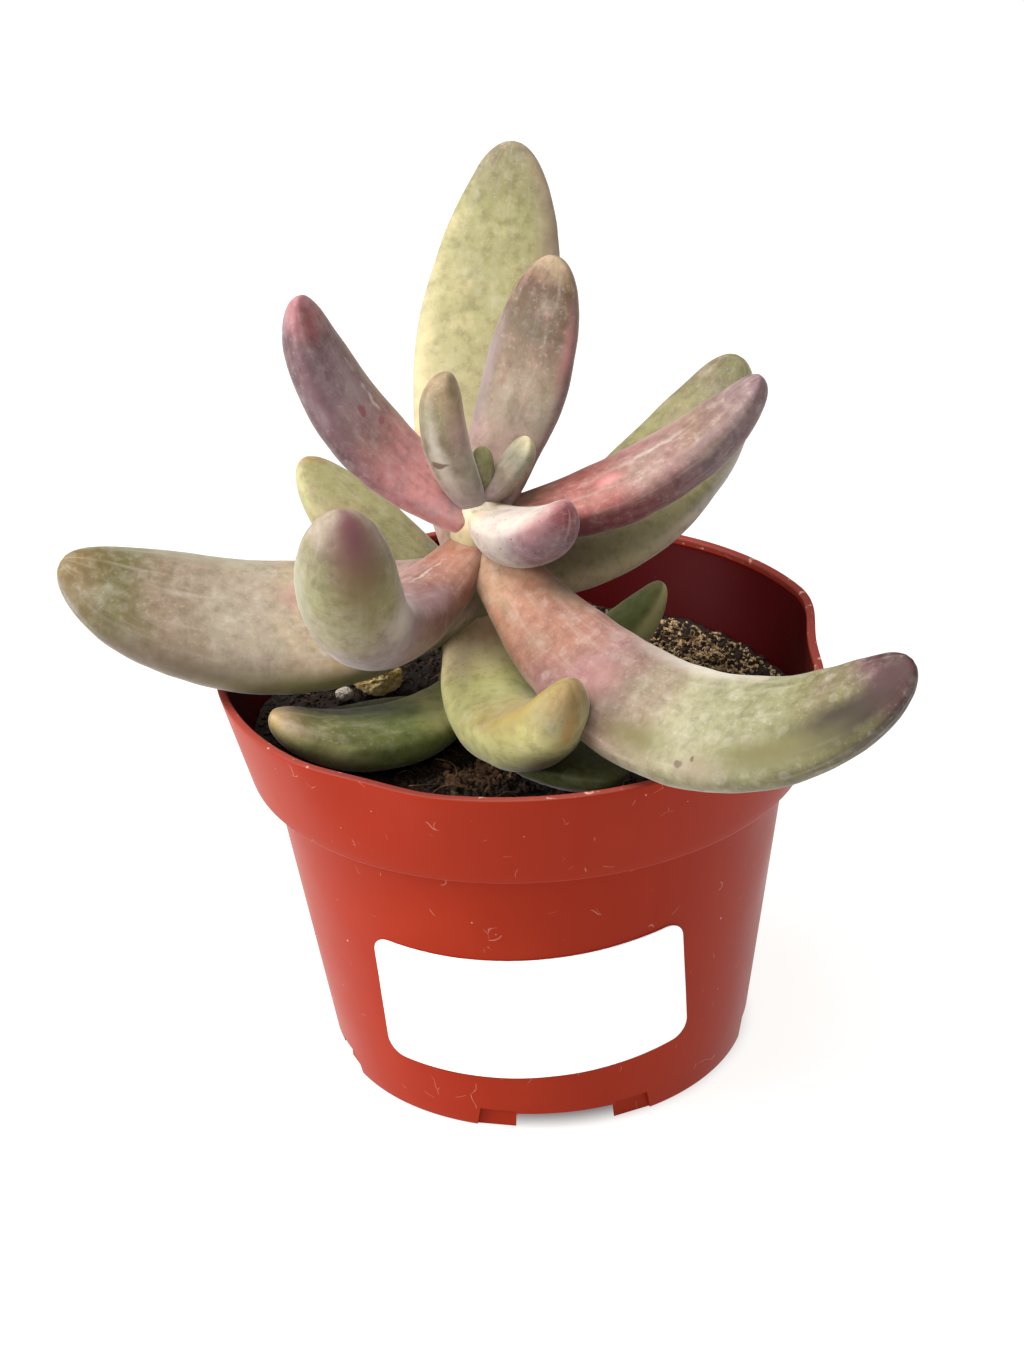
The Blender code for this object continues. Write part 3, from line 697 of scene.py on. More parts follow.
# %% Palette of the plant
CHALK, PEARL, CREAM, LINEN, SAND = "#CBC3B8", "#BDB1A8", "#DCC79E", "#988A78", "#A58F70"
FAWN, TAUPE, COCOA, BARK, COFFEE = "#887662", "#746751", "#665745", "#5A4330", "#40342A"
STRAW, HAY, MOSS, KHAKI, OLIVE, DRAB = "#ACA47A", "#A09B6E", "#918D62", "#827A5C", "#746F4C", "#66603A"
PEAR, LIME, FERN, LEEK, BOTTLE = "#C2BE7E", "#A4A36C", "#7F8950", "#62663A", "#49552E"
SAGE, CELADON, GOLD, OCHRE, HONEY, TAN = "#9C9986", "#959072", "#93814A", "#A2885A", "#B48C50", "#8F7B5F"
SHELL, PEACH, TERRA, ROSE, CRIMSON = "#CAA488", "#AE8066", "#9E6D5A", "#9C5C57", "#864A4E"
PRIMROSE, BRICK, UMBER, PEAT, BASIL, LICHEN, OAT, DAMSON = (
    "#DEDB96", "#845E56", "#78643F", "#2E2216", "#8FA05C", "#7F7D5C", "#C8BE98", "#74484F"
)
BLUSH, MALLOW, DUSTY, PETAL, ROSEWOOD = "#CE8F8E", "#B47A7A", "#916C69", "#B0948A", "#826A5C"
LILAC, HEATHER, MAUVE, PLUM, WINE, ORCHID = "#A09094", "#8A7076", "#7A5F64", "#66494E", "#44292A", "#9A6468"
IVORY = "#ECE2CE"

# %% [markdown]
# Colour runs along the leaf from foot to tip, and the upper face and the back differ. Two Color Ramps hold
# that, and noise at real sizes breaks it up: wide patches, mottling, lengthwise streaks and fine grain. The
# stored numbers, times the leaf's own sizes, unroll it into millimetres, so a scar, a crease or a rubbed spot
# is placed by how far across, along and above it lies. Drops of hard water have dried to pale round spots.

# %% Leaf skin
Skin = namedtuple("Skin", "face back patch bloom marks spots specks", defaults=(None, 0.2, (), 0.08, 0.12))
Mark = namedtuple("Mark", "across along above radius tint strength soft stretch", defaults=(0.8, 0.5, 1.0))
WANDER_SIZE = 9.0
PATCH_SIZES = (12.0, 3.5)
MOTTLE_SIZE = 2.1
GRAIN_SIZE = 0.7
STREAK_SIZE = 1.6
STREAK_STRETCH = 0.14
SPOT_SPACINGS = (4.2, 2.6)
SPECK_SPACING = 0.9
RAGGED = 1.0
RAGGED_SIZE = 2.4


def leaf_skin(leaf, skin):
    material, add, shader, place = new_material(f"waxy leaf skin with powder bloom, {leaf.name}")
    way = add("ShaderNodeAttribute", output="Vector", attribute_name="way")
    parts = add("ShaderNodeSeparateXYZ", (way,)).node.outputs
    sizes = Vector((leaf.width / 2.0, leaf.length, leaf.thickness / 2.0)) * MM
    unrolled = add("ShaderNodeVectorMath", (way, sizes), operation="MULTIPLY")
    drawn = add("ShaderNodeVectorMath", (unrolled, (1.0, STREAK_STRETCH, 1.0)), operation="MULTIPLY")
    wander = add("ShaderNodeTexNoise", {"Vector": place, "Scale": per(WANDER_SIZE), "Detail": 3.0})
    mottle = {"Vector": place, "Scale": per(MOTTLE_SIZE), "Detail": 4.0, "Roughness": 0.6}
    mottle = add("ShaderNodeTexNoise", mottle)
    grain = add("ShaderNodeTexNoise", {"Vector": place, "Scale": per(GRAIN_SIZE), "Detail": 2.0})
    streaks = add("ShaderNodeTexNoise", {"Vector": drawn, "Scale": per(STREAK_SIZE), "Detail": 3.0})

    along = add("ShaderNodeMapRange", (wander, 0.2, 0.8, -0.07, 0.07))
    along = add("ShaderNodeMath", (along, parts["Y"]), operation="ADD")
    above = add("ShaderNodeMapRange", (wander, 0.2, 0.8, -0.2, 0.2))
    above = add("ShaderNodeMath", (above, parts["Z"]), operation="ADD")
    back = with_stops(add("ShaderNodeValToRGB", (along,)), skin.back)
    face = with_stops(add("ShaderNodeValToRGB", (along,)), skin.face)
    coats = [(face, above, -0.3, 0.5)]
    if skin.patch:
        tint, low, high, strength = skin.patch
        for size in PATCH_SIZES:
            blots = {"Vector": place, "Scale": per(size), "Detail": 6.0, "Roughness": 0.64}
            coats.append((tint, add("ShaderNodeTexNoise", blots), low, high, strength))
    coats += [
        (TAUPE, mottle, 0.56, 0.3, 0.3, "MULTIPLY"),
        (CHALK, mottle, 0.52, 0.8, skin.bloom * 1.5),
        (CHALK, streaks, 0.5, 0.8, skin.bloom * 1.2),
        (CHALK, grain, 0.56, 0.75, 0.15),
        (BARK, grain, 0.36, 0.2, 0.15),
    ]
    if skin.spots:
        for spacing in SPOT_SPACINGS:
            coats.append((CHALK, dots(add, place, spacing, 0.4, 0.7), 0.0, 0.14, skin.spots))
    if skin.specks:
        coats.append((BARK, dots(add, place, SPECK_SPACING, 0.24, 0.75), 0.0, 0.1, skin.specks))

    wobble = {"Vector": place, "Scale": per(RAGGED_SIZE), "Detail": 2.0}
    wobble = add("ShaderNodeTexNoise", wobble, "Color")
    shift = RAGGED * MM
    ragged = add("ShaderNodeVectorMath", (wobble, (2.0 * shift,) * 3, unrolled), operation="MULTIPLY_ADD")
    for mark in skin.marks:
        squash = (1.0, 1.0 / mark.stretch, 1.0)
        near = add("ShaderNodeVectorMath", (ragged, squash), operation="MULTIPLY")
        spot = [(share * size + shift) * part for share, size, part in zip(mark[:3], sizes, squash)]
        near = add("ShaderNodeVectorMath", (near, spot), "Value", operation="DISTANCE")
        inner = mark.radius * (1.0 - mark.soft) * MM
        coats.append((mark.tint, near, mark.radius * MM, inner, mark.strength))
    colour = back
    for coat in coats:
        colour = tinted(add, colour, *coat)

    gloss = add("ShaderNodeMapRange", (mottle, 0.3, 0.7, 0.46, 0.62))
    height = add("ShaderNodeMath", (grain, 0.35, mottle), operation="MULTIPLY_ADD")
    bump = add("ShaderNodeBump", {"Height": height, "Strength": 0.35, "Distance": 0.12 * MM})
    fill(shader, {"Base Color": colour, "Roughness": gloss, "Normal": bump, "IOR": 1.42})
    fill(shader, {"Specular IOR Level": 0.3, "Sheen Weight": 0.32, "Sheen Roughness": 0.3})
    flesh = {"Subsurface Weight": 0.1, "Subsurface Radius": (1.0, 0.7, 0.4), "Subsurface Scale": 2.0 * MM}
    fill(shader, flesh)
    return material


# %% Skins of the upper leaves
SKINS = {
    "leaf_back_tall": Skin(
        ((0.0, PETAL), (0.2, SHELL), (0.4, STRAW), (0.65, HAY), (0.85, MOSS), (0.95, KHAKI), (1.0, TAUPE)),
        ((0.0, PETAL), (0.5, SAGE), (1.0, TAUPE)),
        (CREAM, 0.5, 0.78, 0.3),
        0.12,
        (Mark(-1.0, 0.7, 0.2, 7.0, PETAL, 0.6, 1.0, 5.0), Mark(0.9, 0.45, 0.4, 4.0, CREAM, 0.4, 1.0, 5.0)),
    ),
    "leaf_back_inner": Skin(
        ((0.0, PETAL), (0.3, PETAL), (0.4, LINEN), (0.55, FAWN), (0.75, COCOA), (0.88, BARK), (0.96, TAN)),
        ((0.0, LILAC), (0.6, HEATHER), (1.0, TAN)),
        (MALLOW, 0.5, 0.75, 0.3),
        0.12,
        (
            Mark(0.9, 0.5, 0.4, 4.5, LILAC, 0.7, 1.0, 4.0), Mark(-0.95, 0.7, 0.3, 2.6, MALLOW, 0.6, 1.0, 4.0),
            Mark(0.4, 0.8, 0.8, 1.3, BARK, 0.5, 0.5, 2.0), Mark(0.0, 0.93, 1.0, 1.0, BARK, 0.4),
            Mark(-0.1, 0.45, 1.0, 1.6, TAUPE, 0.5, 0.6, 1.6),
        ),
    ),
    "leaf_left_upper": Skin(
        (
            (0.0, SHELL), (0.08, BLUSH), (0.2, BLUSH), (0.34, MALLOW), (0.46, DUSTY), (0.62, HEATHER),
            (0.84, MAUVE), (0.95, ORCHID),
        ),
        ((0.0, BLUSH), (0.22, MALLOW), (0.45, PLUM), (0.72, PLUM), (0.88, PLUM), (1.0, ORCHID)),
        (LILAC, 0.5, 0.72, 0.4),
        0.15,
        (
            Mark(0.0, 0.64, 1.0, 3.0, LILAC, 0.5, 1.0, 4.0), Mark(0.95, 0.66, 0.2, 4.0, PLUM, 0.8, 1.0, 4.0),
            Mark(-0.9, 0.6, 0.5, 4.0, LINEN, 0.7, 1.0, 5.0), Mark(0.2, 0.55, 0.9, 1.2, CRIMSON, 0.8, 0.5),
            Mark(-0.1, 0.48, 1.0, 0.8, CRIMSON, 0.7), Mark(-0.35, 0.6, 1.0, 0.7, CHALK, 0.6, 0.8, 16.0),
            Mark(0.4, 0.92, 0.8, 4.0, CRIMSON, 0.6, 1.0, 1.5),
        ),
    ),
    "leaf_young_upright": Skin(
        ((0.0, LILAC), (0.3, SAGE), (0.6, PETAL), (0.85, SAND), (1.0, TAN)),
        ((0.0, LILAC), (0.3, LINEN), (0.5, TAUPE), (0.75, KHAKI), (0.93, TAN), (1.0, TAN)),
        None,
        0.15,
        (Mark(0.9, 0.5, -0.6, 2.2, CHALK, 0.6, 1.0, 5.0), Mark(0.75, 0.42, -0.6, 1.6, BARK, 0.8, 0.4, 0.35)),
    ),
    "leaf_young_small": Skin(
        ((0.0, HEATHER), (0.45, LINEN), (0.7, SAGE), (1.0, OAT)),
        ((0.0, HEATHER), (0.4, LINEN), (0.7, SAGE), (1.0, STRAW)),
    ),
    "leaf_bud": Skin(((0.0, OLIVE), (1.0, MOSS)), ((0.0, OLIVE), (1.0, OLIVE))),
    "leaf_front_cup": Skin(
        ((0.0, CREAM), (0.3, PEARL), (0.6, PEARL), (0.85, PEARL), (1.0, ORCHID)),
        ((0.0, PEARL), (0.42, PEARL), (0.62, HEATHER), (0.85, HEATHER), (1.0, CRIMSON)),
        None,
        0.25,
        (
            Mark(-0.9, 0.8, 0.1, 4.0, ORCHID, 0.7, 1.0, 1.5), Mark(0.0, 0.35, 1.0, 0.9, ROSE, 0.5),
            Mark(0.3, 0.5, 0.9, 0.8, ROSE, 0.5),
        ),
        0.0,
        0.7,
    ),
    "leaf_right_upper": Skin(
        (
            (0.0, SAND), (0.12, TERRA), (0.25, ROSE), (0.42, ROSE), (0.56, DUSTY), (0.76, ROSEWOOD),
            (0.9, MAUVE), (1.0, MAUVE),
        ),
        ((0.0, CRIMSON), (0.5, CRIMSON), (0.7, MAUVE), (1.0, MAUVE)),
        (LINEN, 0.52, 0.75, 0.4),
        0.2,
        (
            Mark(0.85, 0.6, 0.6, 3.4, PETAL, 0.7, 1.0, 5.0), Mark(-0.2, 0.42, 1.0, 2.6, BLUSH, 0.7, 1.0, 1.6),
            Mark(-0.8, 0.75, 0.5, 2.4, MAUVE, 0.7, 1.0, 4.0),
            Mark(0.1, 0.56, 1.0, 0.9, CHALK, 0.45, 1.0, 13.0),
            Mark(0.3, 0.36, 0.8, 1.2, CRIMSON, 0.6, 0.8, 3.0),
            Mark(0.5, 0.1, 0.9, 5.0, SHELL, 0.85, 1.0, 1.6),
        ),
    ),
}

# %% Skins of the leaves round the rim
SKINS |= {
    "leaf_right_behind": Skin(
        ((0.0, SAND), (0.4, STRAW), (0.7, HAY), (0.88, KHAKI), (0.96, OLIVE)),
        # The back's cream up to the middle is lighter than its own colour, painted light where the leaf lies
        # in shade.
        ((0.0, CREAM), (0.42, CREAM), (0.6, PEARL), (0.8, PEARL), (1.0, STRAW)),
        (PETAL, 0.5, 0.75, 0.4),
        0.12,
    ),
    "leaf_left_behind": Skin(
        ((0.0, MOSS), (0.5, MOSS), (0.75, HAY), (0.93, HAY), (1.0, OCHRE)),
        ((0.0, OLIVE), (0.5, LIME), (1.0, STRAW)),
        (SAND, 0.5, 0.7, 0.5),
        0.12,
    ),
    "leaf_front_hook": Skin(
        ((0.0, PEACH), (0.12, TERRA), (0.26, BRICK), (0.6, HEATHER), (1.0, CRIMSON)),
        (
            (0.0, PEACH), (0.12, TERRA), (0.28, BRICK), (0.42, DUSTY), (0.54, LILAC), (0.66, LINEN),
            (0.78, MOSS), (0.9, KHAKI), (0.95, LINEN), (1.0, LINEN),
        ),
        (LILAC, 0.52, 0.75, 0.35),
        0.15,
        (
            Mark(0.35, 0.88, -0.9, 8.0, UMBER, 0.95, 1.0, 1.5),
            Mark(0.3, 0.965, -0.85, 9.0, DAMSON, 0.95, 1.0), Mark(-0.95, 0.8, -0.3, 5.0, SAGE, 0.7, 1.0, 2.0),
            Mark(0.95, 0.66, -0.3, 4.0, CHALK, 0.8, 1.0, 1.6),
            Mark(0.05, 0.22, 1.0, 0.5, CHALK, 0.5, 0.8, 16.0),
            Mark(-0.8, 0.2, 0.6, 4.0, MALLOW, 0.7, 1.0, 1.8),
            Mark(0.8, 0.3, 0.6, 4.5, HEATHER, 0.6, 1.0, 2.0),
        ),
    ),
    "leaf_left_long": Skin(
        (
            (0.0, PETAL), (0.2, PETAL), (0.36, SAND), (0.5, LINEN), (0.6, LINEN), (0.76, FAWN), (0.88, DRAB),
            (0.97, UMBER),
        ),
        ((0.0, KHAKI), (0.4, KHAKI), (0.64, TAUPE), (0.81, COCOA), (0.9, DRAB), (1.0, TAUPE)),
        (SAGE, 0.5, 0.72, 0.4),
        0.18,
        (
            Mark(-0.9, 0.7, 0.5, 5.0, SAGE, 0.6, 1.0, 5.0), Mark(0.0, 1.0, 0.3, 2.4, OCHRE, 0.6),
            Mark(-0.2, 0.42, 1.0, 4.5, MALLOW, 0.4, 1.0, 1.5), Mark(0.1, 0.86, 0.9, 3.5, DRAB, 0.5, 1.0, 1.0),
            Mark(1.0, 0.65, 0.2, 8.0, COCOA, 0.8, 1.0, 4.0), Mark(1.0, 0.42, -0.1, 6.0, MOSS, 0.7, 1.0, 3.0),
        ),
    ),
    "leaf_right_long": Skin(
        (
            (0.0, SAND), (0.13, PEACH), (0.25, TERRA), (0.37, DUSTY), (0.48, ROSEWOOD), (0.58, CELADON),
            (0.73, LICHEN), (0.86, OLIVE), (0.91, COCOA), (0.95, PLUM), (0.98, WINE),
        ),
        ((0.0, TAN), (0.34, TAN), (0.5, OLIVE), (0.64, KHAKI), (0.76, DRAB), (0.89, COFFEE), (1.0, WINE)),
        (SAGE, 0.52, 0.75, 0.3),
        0.16,
        (
            # Painted highlight: a pale band along the upper margin.
            Mark(0.95, 0.55, 0.4, 5.0, CHALK, 0.8, 1.0, 5.0),
            Mark(-0.1, 0.4, 1.0, 6.0, MALLOW, 0.4, 1.0, 1.3),
            Mark(-0.5, 0.16, 0.8, 3.0, KHAKI, 0.5, 1.0, 1.0),
            Mark(-0.5, 0.89, 0.85, 6.5, PEAT, 0.95, 0.7, 2.2),
            Mark(-0.65, 0.53, 0.8, 5.0, DRAB, 0.9, 1.0, 2.0), Mark(0.8, 0.2, 0.6, 5.0, FAWN, 0.8, 1.0, 1.8),
            Mark(-0.85, 0.65, 0.5, 3.5, FAWN, 0.7, 1.0, 2.0),
            Mark(-0.72, 0.645, 0.7, 0.7, BARK, 0.8, 0.4, 0.8),
            Mark(-0.82, 0.62, 0.57, 0.8, BARK, 0.7, 0.4, 1.4),
            Mark(-0.65, 0.76, 0.7, 5.0, DRAB, 0.95, 0.9, 3.0), Mark(-0.2, 1.0, 0.6, 12.0, WINE, 0.95, 0.8),
        ),
        0.12,
    ),
    "leaf_front_curled": Skin(
        # The face's cream foot is lighter than the leaf's own colour, painted light where the hook and the
        # crown shade it.
        ((0.0, CREAM), (0.18, CREAM), (0.32, PEAR), (0.46, LIME), (0.7, GOLD), (1.0, GOLD)),
        ((0.0, PEAR), (0.5, PEAR), (0.85, PRIMROSE), (0.93, STRAW), (1.0, OCHRE)),
        (OCHRE, 0.52, 0.75, 0.35),
        0.12,
        (
            Mark(-1.0, 0.84, 0.2, 6.0, GOLD, 0.9, 1.0, 2.0), Mark(-0.1, 0.96, -0.7, 4.2, UMBER, 0.8, 1.0),
            Mark(-0.1, 0.89, -0.9, 4.0, HONEY, 0.8, 1.0, 1.4), Mark(-0.7, 0.88, -0.4, 3.5, OCHRE, 0.5, 1.0),
            Mark(0.5, 0.3, 0.8, 2.4, PEAR, 0.5, 1.0, 2.0), Mark(0.2, 0.12, 1.0, 7.0, SHELL, 0.7, 1.0),
        ),
        0.08,
        0.25,
    ),
}

# %% Skins of the low leaves
SKINS |= {
    "leaf_low_left": Skin(
        (
            (0.0, PRIMROSE), (0.28, PRIMROSE), (0.44, FERN), (0.7, LEEK), (0.85, DRAB), (0.94, TAN),
            (1.0, OCHRE),
        ),
        ((0.0, BASIL), (0.6, BASIL), (0.76, PEAR), (0.88, LIME), (1.0, OCHRE)),
        (LEEK, 0.5, 0.75, 0.3),
        0.16,
        (Mark(0.6, 0.86, 0.5, 3.0, SAGE, 0.5, 1.0, 1.6), Mark(-0.2, 0.5, 1.0, 1.2, SAGE, 0.6, 1.0, 10.0)),
        0.08,
    ),
    "leaf_low_front": Skin(((0.0, LEEK), (1.0, LEEK)), ((0.0, LEEK), (1.0, LEEK)), None, 0.08, (), 0.05),
    "leaf_low_right": Skin(
        ((0.0, LEEK), (0.6, FERN), (0.85, FERN), (1.0, LIME)),
        ((0.0, FERN), (0.6, PRIMROSE), (1.0, PRIMROSE)),
        None,
        0.1,
        (Mark(-1.0, 0.8, 0.0, 3.0, PRIMROSE, 0.95, 1.0, 5.0), Mark(1.0, 0.8, 0.2, 2.2, PEAR, 0.8, 1.0, 5.0)),
    ),
    "leaf_low_hidden": Skin(((0.0, BOTTLE), (1.0, OLIVE)), ((0.0, BOTTLE), (1.0, BOTTLE)), None, 0.08),
}

# %% [markdown]
# Growing a leaf is then one start mesh and one row of the table, with its skin.

# %% Grow the leaves
for leaf in LEAVES:
    sizes = [size * MM for size in (leaf.length, leaf.width, leaf.thickness)]
    shape = (leaf.roll, leaf.twist, leaf.sway, leaf.bend, leaf.foot, leaf.widest, leaf.tip, leaf.hollow * MM)
    numbers = (float(number) for number in (*leaf.heading, *leaf.rise, *sizes, *shape))
    values = dict(zip(NUMBERS, numbers))
    values |= {"Foot": tuple(stem_point(leaf.height) * MM), "Skin": leaf_skin(leaf, SKINS[leaf.name])}
    mesh = grown(leaf.name, leaf_rule, bpy.data.meshes.new(leaf.name), values)
    add_piece(f"{leaf.name}_skin", mesh, None, leaf.name)
print("leaves grown:", len(SKINS))

# %% [markdown]
# ## The stem
# The stem is short, smooth and olive, with a faint ring where each old leaf fell off. It is pale and
# cream-coloured at the top, where the youngest leaves crowd round it.

# %% Stem
STEM_RADIUS = 5.0
STEM_TOP = 102.0
STEM_SQUARENESS = 12
STEM_RINGS = 90
STEM_SEGMENTS = 40
SCAR_SPACING = 6.5
SCAR_DEPTH = 0.05

stem_foot = STEM_AXIS[0][2]
stem_rings = []
turns = [2.0 * math.pi * segment / STEM_SEGMENTS for segment in range(STEM_SEGMENTS)]
for ring in range(1, STEM_RINGS):
    share = ring / STEM_RINGS
    z = stem_foot + (STEM_TOP - stem_foot) * share
    radius = STEM_RADIUS * math.sqrt(1.0 - abs(2.0 * share - 1.0) ** STEM_SQUARENESS)
    radius *= 1.0 - SCAR_DEPTH * abs(math.sin(math.pi * z / SCAR_SPACING))
    stem_rings.append([stem_point(z) + Vector((math.cos(a), math.sin(a), 0.0)) * radius for a in turns])
stem_mesh = skinned("stem_bark", stem_rings, stem_point(stem_foot), stem_point(STEM_TOP))
print("stem rings:", len(stem_rings))

# %% Bark of the stem
FIBRE_SIZE = 2.5
STEM_GREEN_Z = 55.0

bark, add, shader, place = new_material("smooth succulent stem, olive")
height = add("ShaderNodeSeparateXYZ", (place,), "Z")
level = add("ShaderNodeMapRange", (height, STEM_GREEN_Z * MM, STEM_TOP * MM, 0.0, 1.0))
stops = ((0.0, SAGE), (0.35, SAGE), (0.6, OLIVE), (0.82, STRAW), (0.93, CREAM), (1.0, IVORY))
colour = with_stops(add("ShaderNodeValToRGB", (level,)), stops)
fibres = add("ShaderNodeTexNoise", {"Vector": place, "Scale": per(FIBRE_SIZE), "Detail": 4.0})
colour = tinted(add, colour, BARK, fibres, 0.5, 0.75, 0.5)
bump = add("ShaderNodeBump", {"Height": fibres, "Strength": 0.4, "Distance": 0.2 * MM})
fill(shader, {"Base Color": colour, "Roughness": 0.55, "Normal": bump})
stem = add_piece("stem_bark", stem_mesh, bark, "stem")
print("stem faces:", len(stem.data.polygons))

# %% [markdown]
# ## The soil
# The pot is filled with dark peat. The ground is a disc whose height follows the CAD model's low mounds and a
# little noise. Below the surface it goes down inside the wall, over the collar's ledge, to the pot's floor.
# The crumbs, sandy grains and fibres on it are scattered by Geometry Nodes.

# %% Soil surface
SOIL_TOP = 58.0
SOIL_RELIEF = 0.6
BROAD_MOUNDS = (5.1, 6.3)
SMALL_MOUNDS = (2.9, 3.7)
SOIL_RINGS = 80
SOIL_SEGMENTS = 200
SOIL_GAP = 0.15
SOIL_NECK = 3.4
SOIL_FOOT = 5.1
CLOD = 0.9
CLOD_SIZE = 3.2
ROOM = 0.3


def soil_height(x, y):
    broad = math.sin(x / BROAD_MOUNDS[0] + 0.7) * math.cos(y / BROAD_MOUNDS[1])
    small = math.sin(x / SMALL_MOUNDS[0] - y / SMALL_MOUNDS[1] + 2.0)
    mound = SOIL_TOP + SOIL_RELIEF * (broad + small / 2.0) / 1.5
    return mound + CLOD * noise.fractal(Vector((x, y, 0.0)) / CLOD_SIZE, 0.8, 2.0, 4)


soil_edge = collar_radius(SOIL_TOP - SOIL_RELIEF) - WALL - SOIL_GAP


def soil_ring(radius, z=None):
    """A ring of the soil at a radius. Without a height, it lies on the surface."""
    ring = []
    for step in range(SOIL_SEGMENTS):
        angle = 2.0 * math.pi * step / SOIL_SEGMENTS
        dented = radius * (1.0 - dent_at(math.degrees(angle), SOIL_TOP) / soil_edge)
        x, y = dented * math.sin(angle), -dented * math.cos(angle)
        ring.append((x + POT_AXIS[0], y + POT_AXIS[1], soil_height(x, y) if z is None else z))
    return ring


ledge = COLLAR_FOOT_Z + WALL + ROOM
soil_rings = [soil_ring(soil_edge * step / SOIL_RINGS) for step in range(1, SOIL_RINGS + 1)]
soil_rings += [soil_ring(soil_edge, ledge), soil_ring(soil_edge - SOIL_NECK, ledge)]
soil_rings.append(soil_ring(body_radius(SOIL_FOOT) - WALL - SOIL_GAP, SOIL_FOOT))
soil_mesh = skinned("soil_ground", soil_rings, (*POT_AXIS, soil_height(0.0, 0.0)), (*POT_AXIS, SOIL_FOOT))
print("soil faces:", len(soil_mesh.polygons))


# %% Peat and grain finishes
def earth(name, tints, spacing, roughness, relief):
    """Mineral or peat matter whose colour wanders between a few hex colours."""
    material, add, shader, place = new_material(name)
    blotches = {"Vector": place, "Scale": per(spacing), "Detail": 5.0, "Roughness": 0.7}
    blotches = add("ShaderNodeTexNoise", blotches)
    spread = add("ShaderNodeMapRange", (blotches, 0.3, 0.7, 0.0, 1.0))
    last = len(tints) - 1
    stops = [(step / last, tint) for step, tint in enumerate(tints)]
    colour = with_stops(add("ShaderNodeValToRGB", (spread,)), stops)
    rough = add("ShaderNodeTexNoise", {"Vector": place, "Scale": per(0.5), "Detail": 4.0})
    bump = add("ShaderNodeBump", {"Height": rough, "Strength": 0.8, "Distance": relief * MM})
    fill(shader, {"Base Color": colour, "Roughness": roughness, "Normal": bump})
    return material


peat = earth("damp black peat", ("#090604", "#150D09", "#2A1B12"), 2.4, 0.95, 0.3)
crumb_peat = earth("crumbled peat", ("#0A0604", "#1C120B", "#3E2A1A", "#180F09"), 1.0, 0.95, 0.3)
grit = earth("sandy grit", ("#3A2A18", "#8A6A44", "#E4C698", "#5A4228"), 0.8, 0.85, 0.2)
coco = earth("coco fibre", ("#2E1C10", "#5C4028", "#8F7048"), 3.0, 0.9, 0.1)
soil = add_piece("soil_ground", soil_mesh, peat, "soil")

# %% [markdown]
# Loose matter lies at random on the part of the soil that looks up, and keeps off the pot's wall. One helper
# gives the density that such limits leave. Another puts a thing on each random point, turned, stretched and
# sized at random from one seed.

# %% Scatter helpers
LOWEST_CRUMB = 56.6
AXIS_FOOT = (POT_AXIS[0] * MM, POT_AXIS[1] * MM, 0.0)
SIZES = (("Density", "Float"), ("Smallest", "Float"), ("Largest", "Float"), ("Seed", "Int"))


def open_soil(add, given, clearance):
    """A point's place, that place on the ground plane, and the density on the open top, off the wall."""
    spot = add("GeometryNodeInputPosition")
    flat = add("ShaderNodeVectorMath", (spot, (1.0, 1.0, 0.0)), operation="MULTIPLY")
    from_axis = add("ShaderNodeVectorMath", (flat, AXIS_FOOT), "Value", operation="DISTANCE")
    room = add("ShaderNodeMath", (soil_edge * MM, clearance), operation="SUBTRACT")
    clear = add("ShaderNodeMath", (from_axis, room), operation="LESS_THAN")
    height = add("ShaderNodeSeparateXYZ", (spot,), "Z")
    above = add("ShaderNodeMath", (height, LOWEST_CRUMB * MM), operation="GREATER_THAN")
    amount = add("ShaderNodeMath", (given["Density"], clear), operation="MULTIPLY")
    return spot, flat, add("ShaderNodeMath", (amount, above), operation="MULTIPLY")


def sown(add, given, amount, thing, turns, stretches):
    """The thing on random points, with each turn, stretch and size drawn between two limits."""
    seed = given["Seed"]
    where = {"Mesh": given["Geometry"], "Density": amount, "Seed": seed}
    points = add("GeometryNodeDistributePointsOnFaces", where)
    spin = {0: turns[0], 1: turns[1], "Seed": seed}
    spin = add("FunctionNodeRandomValue", spin, data_type="FLOAT_VECTOR")
    stretch = {0: stretches[0], 1: stretches[1], "Seed": seed}
    stretch = add("FunctionNodeRandomValue", stretch, data_type="FLOAT_VECTOR")
    size = {2: given["Smallest"], 3: given["Largest"], "Seed": seed}
    size = add("FunctionNodeRandomValue", size, 1, data_type="FLOAT")
    scale = add("ShaderNodeVectorMath", {0: stretch, "Scale": size}, operation="SCALE")
    placed = {"Points": points, "Instance": thing, "Rotation": spin, "Scale": scale}
    placed = add("GeometryNodeInstanceOnPoints", placed)
    return add("GeometryNodeRealizeInstances", (placed,))


def scattered(name, rule, **values):
    """Runs a rule over the soil and adds the result as a piece."""
    mesh = grown(name, rule, soil.data, values)
    add_piece(name, mesh)
    print(name, "triangles:", sum(len(face.vertices) - 2 for face in mesh.polygons))


# %% [markdown]
# One rule makes every kind of crumb: a small rough stone, thickest on the ground near a chosen place and in
# clumps. A last noise breaks the joined crumbs out of their regular shape. Most are dark peat, 0.3 to 1 mm in
# radius, with a few lumps up to 1.8 mm. Behind the right-hand leaves the mix is full of tan grit, and one
# loose tuft of brown fibre lies at the front.

# %% Scatter the crumbs
CLUMP_SIZE = 5.0
CHIP_SIZE = 0.7
GRITTY = (31.0, 22.0)
TUFT = (-9.0, -18.0)


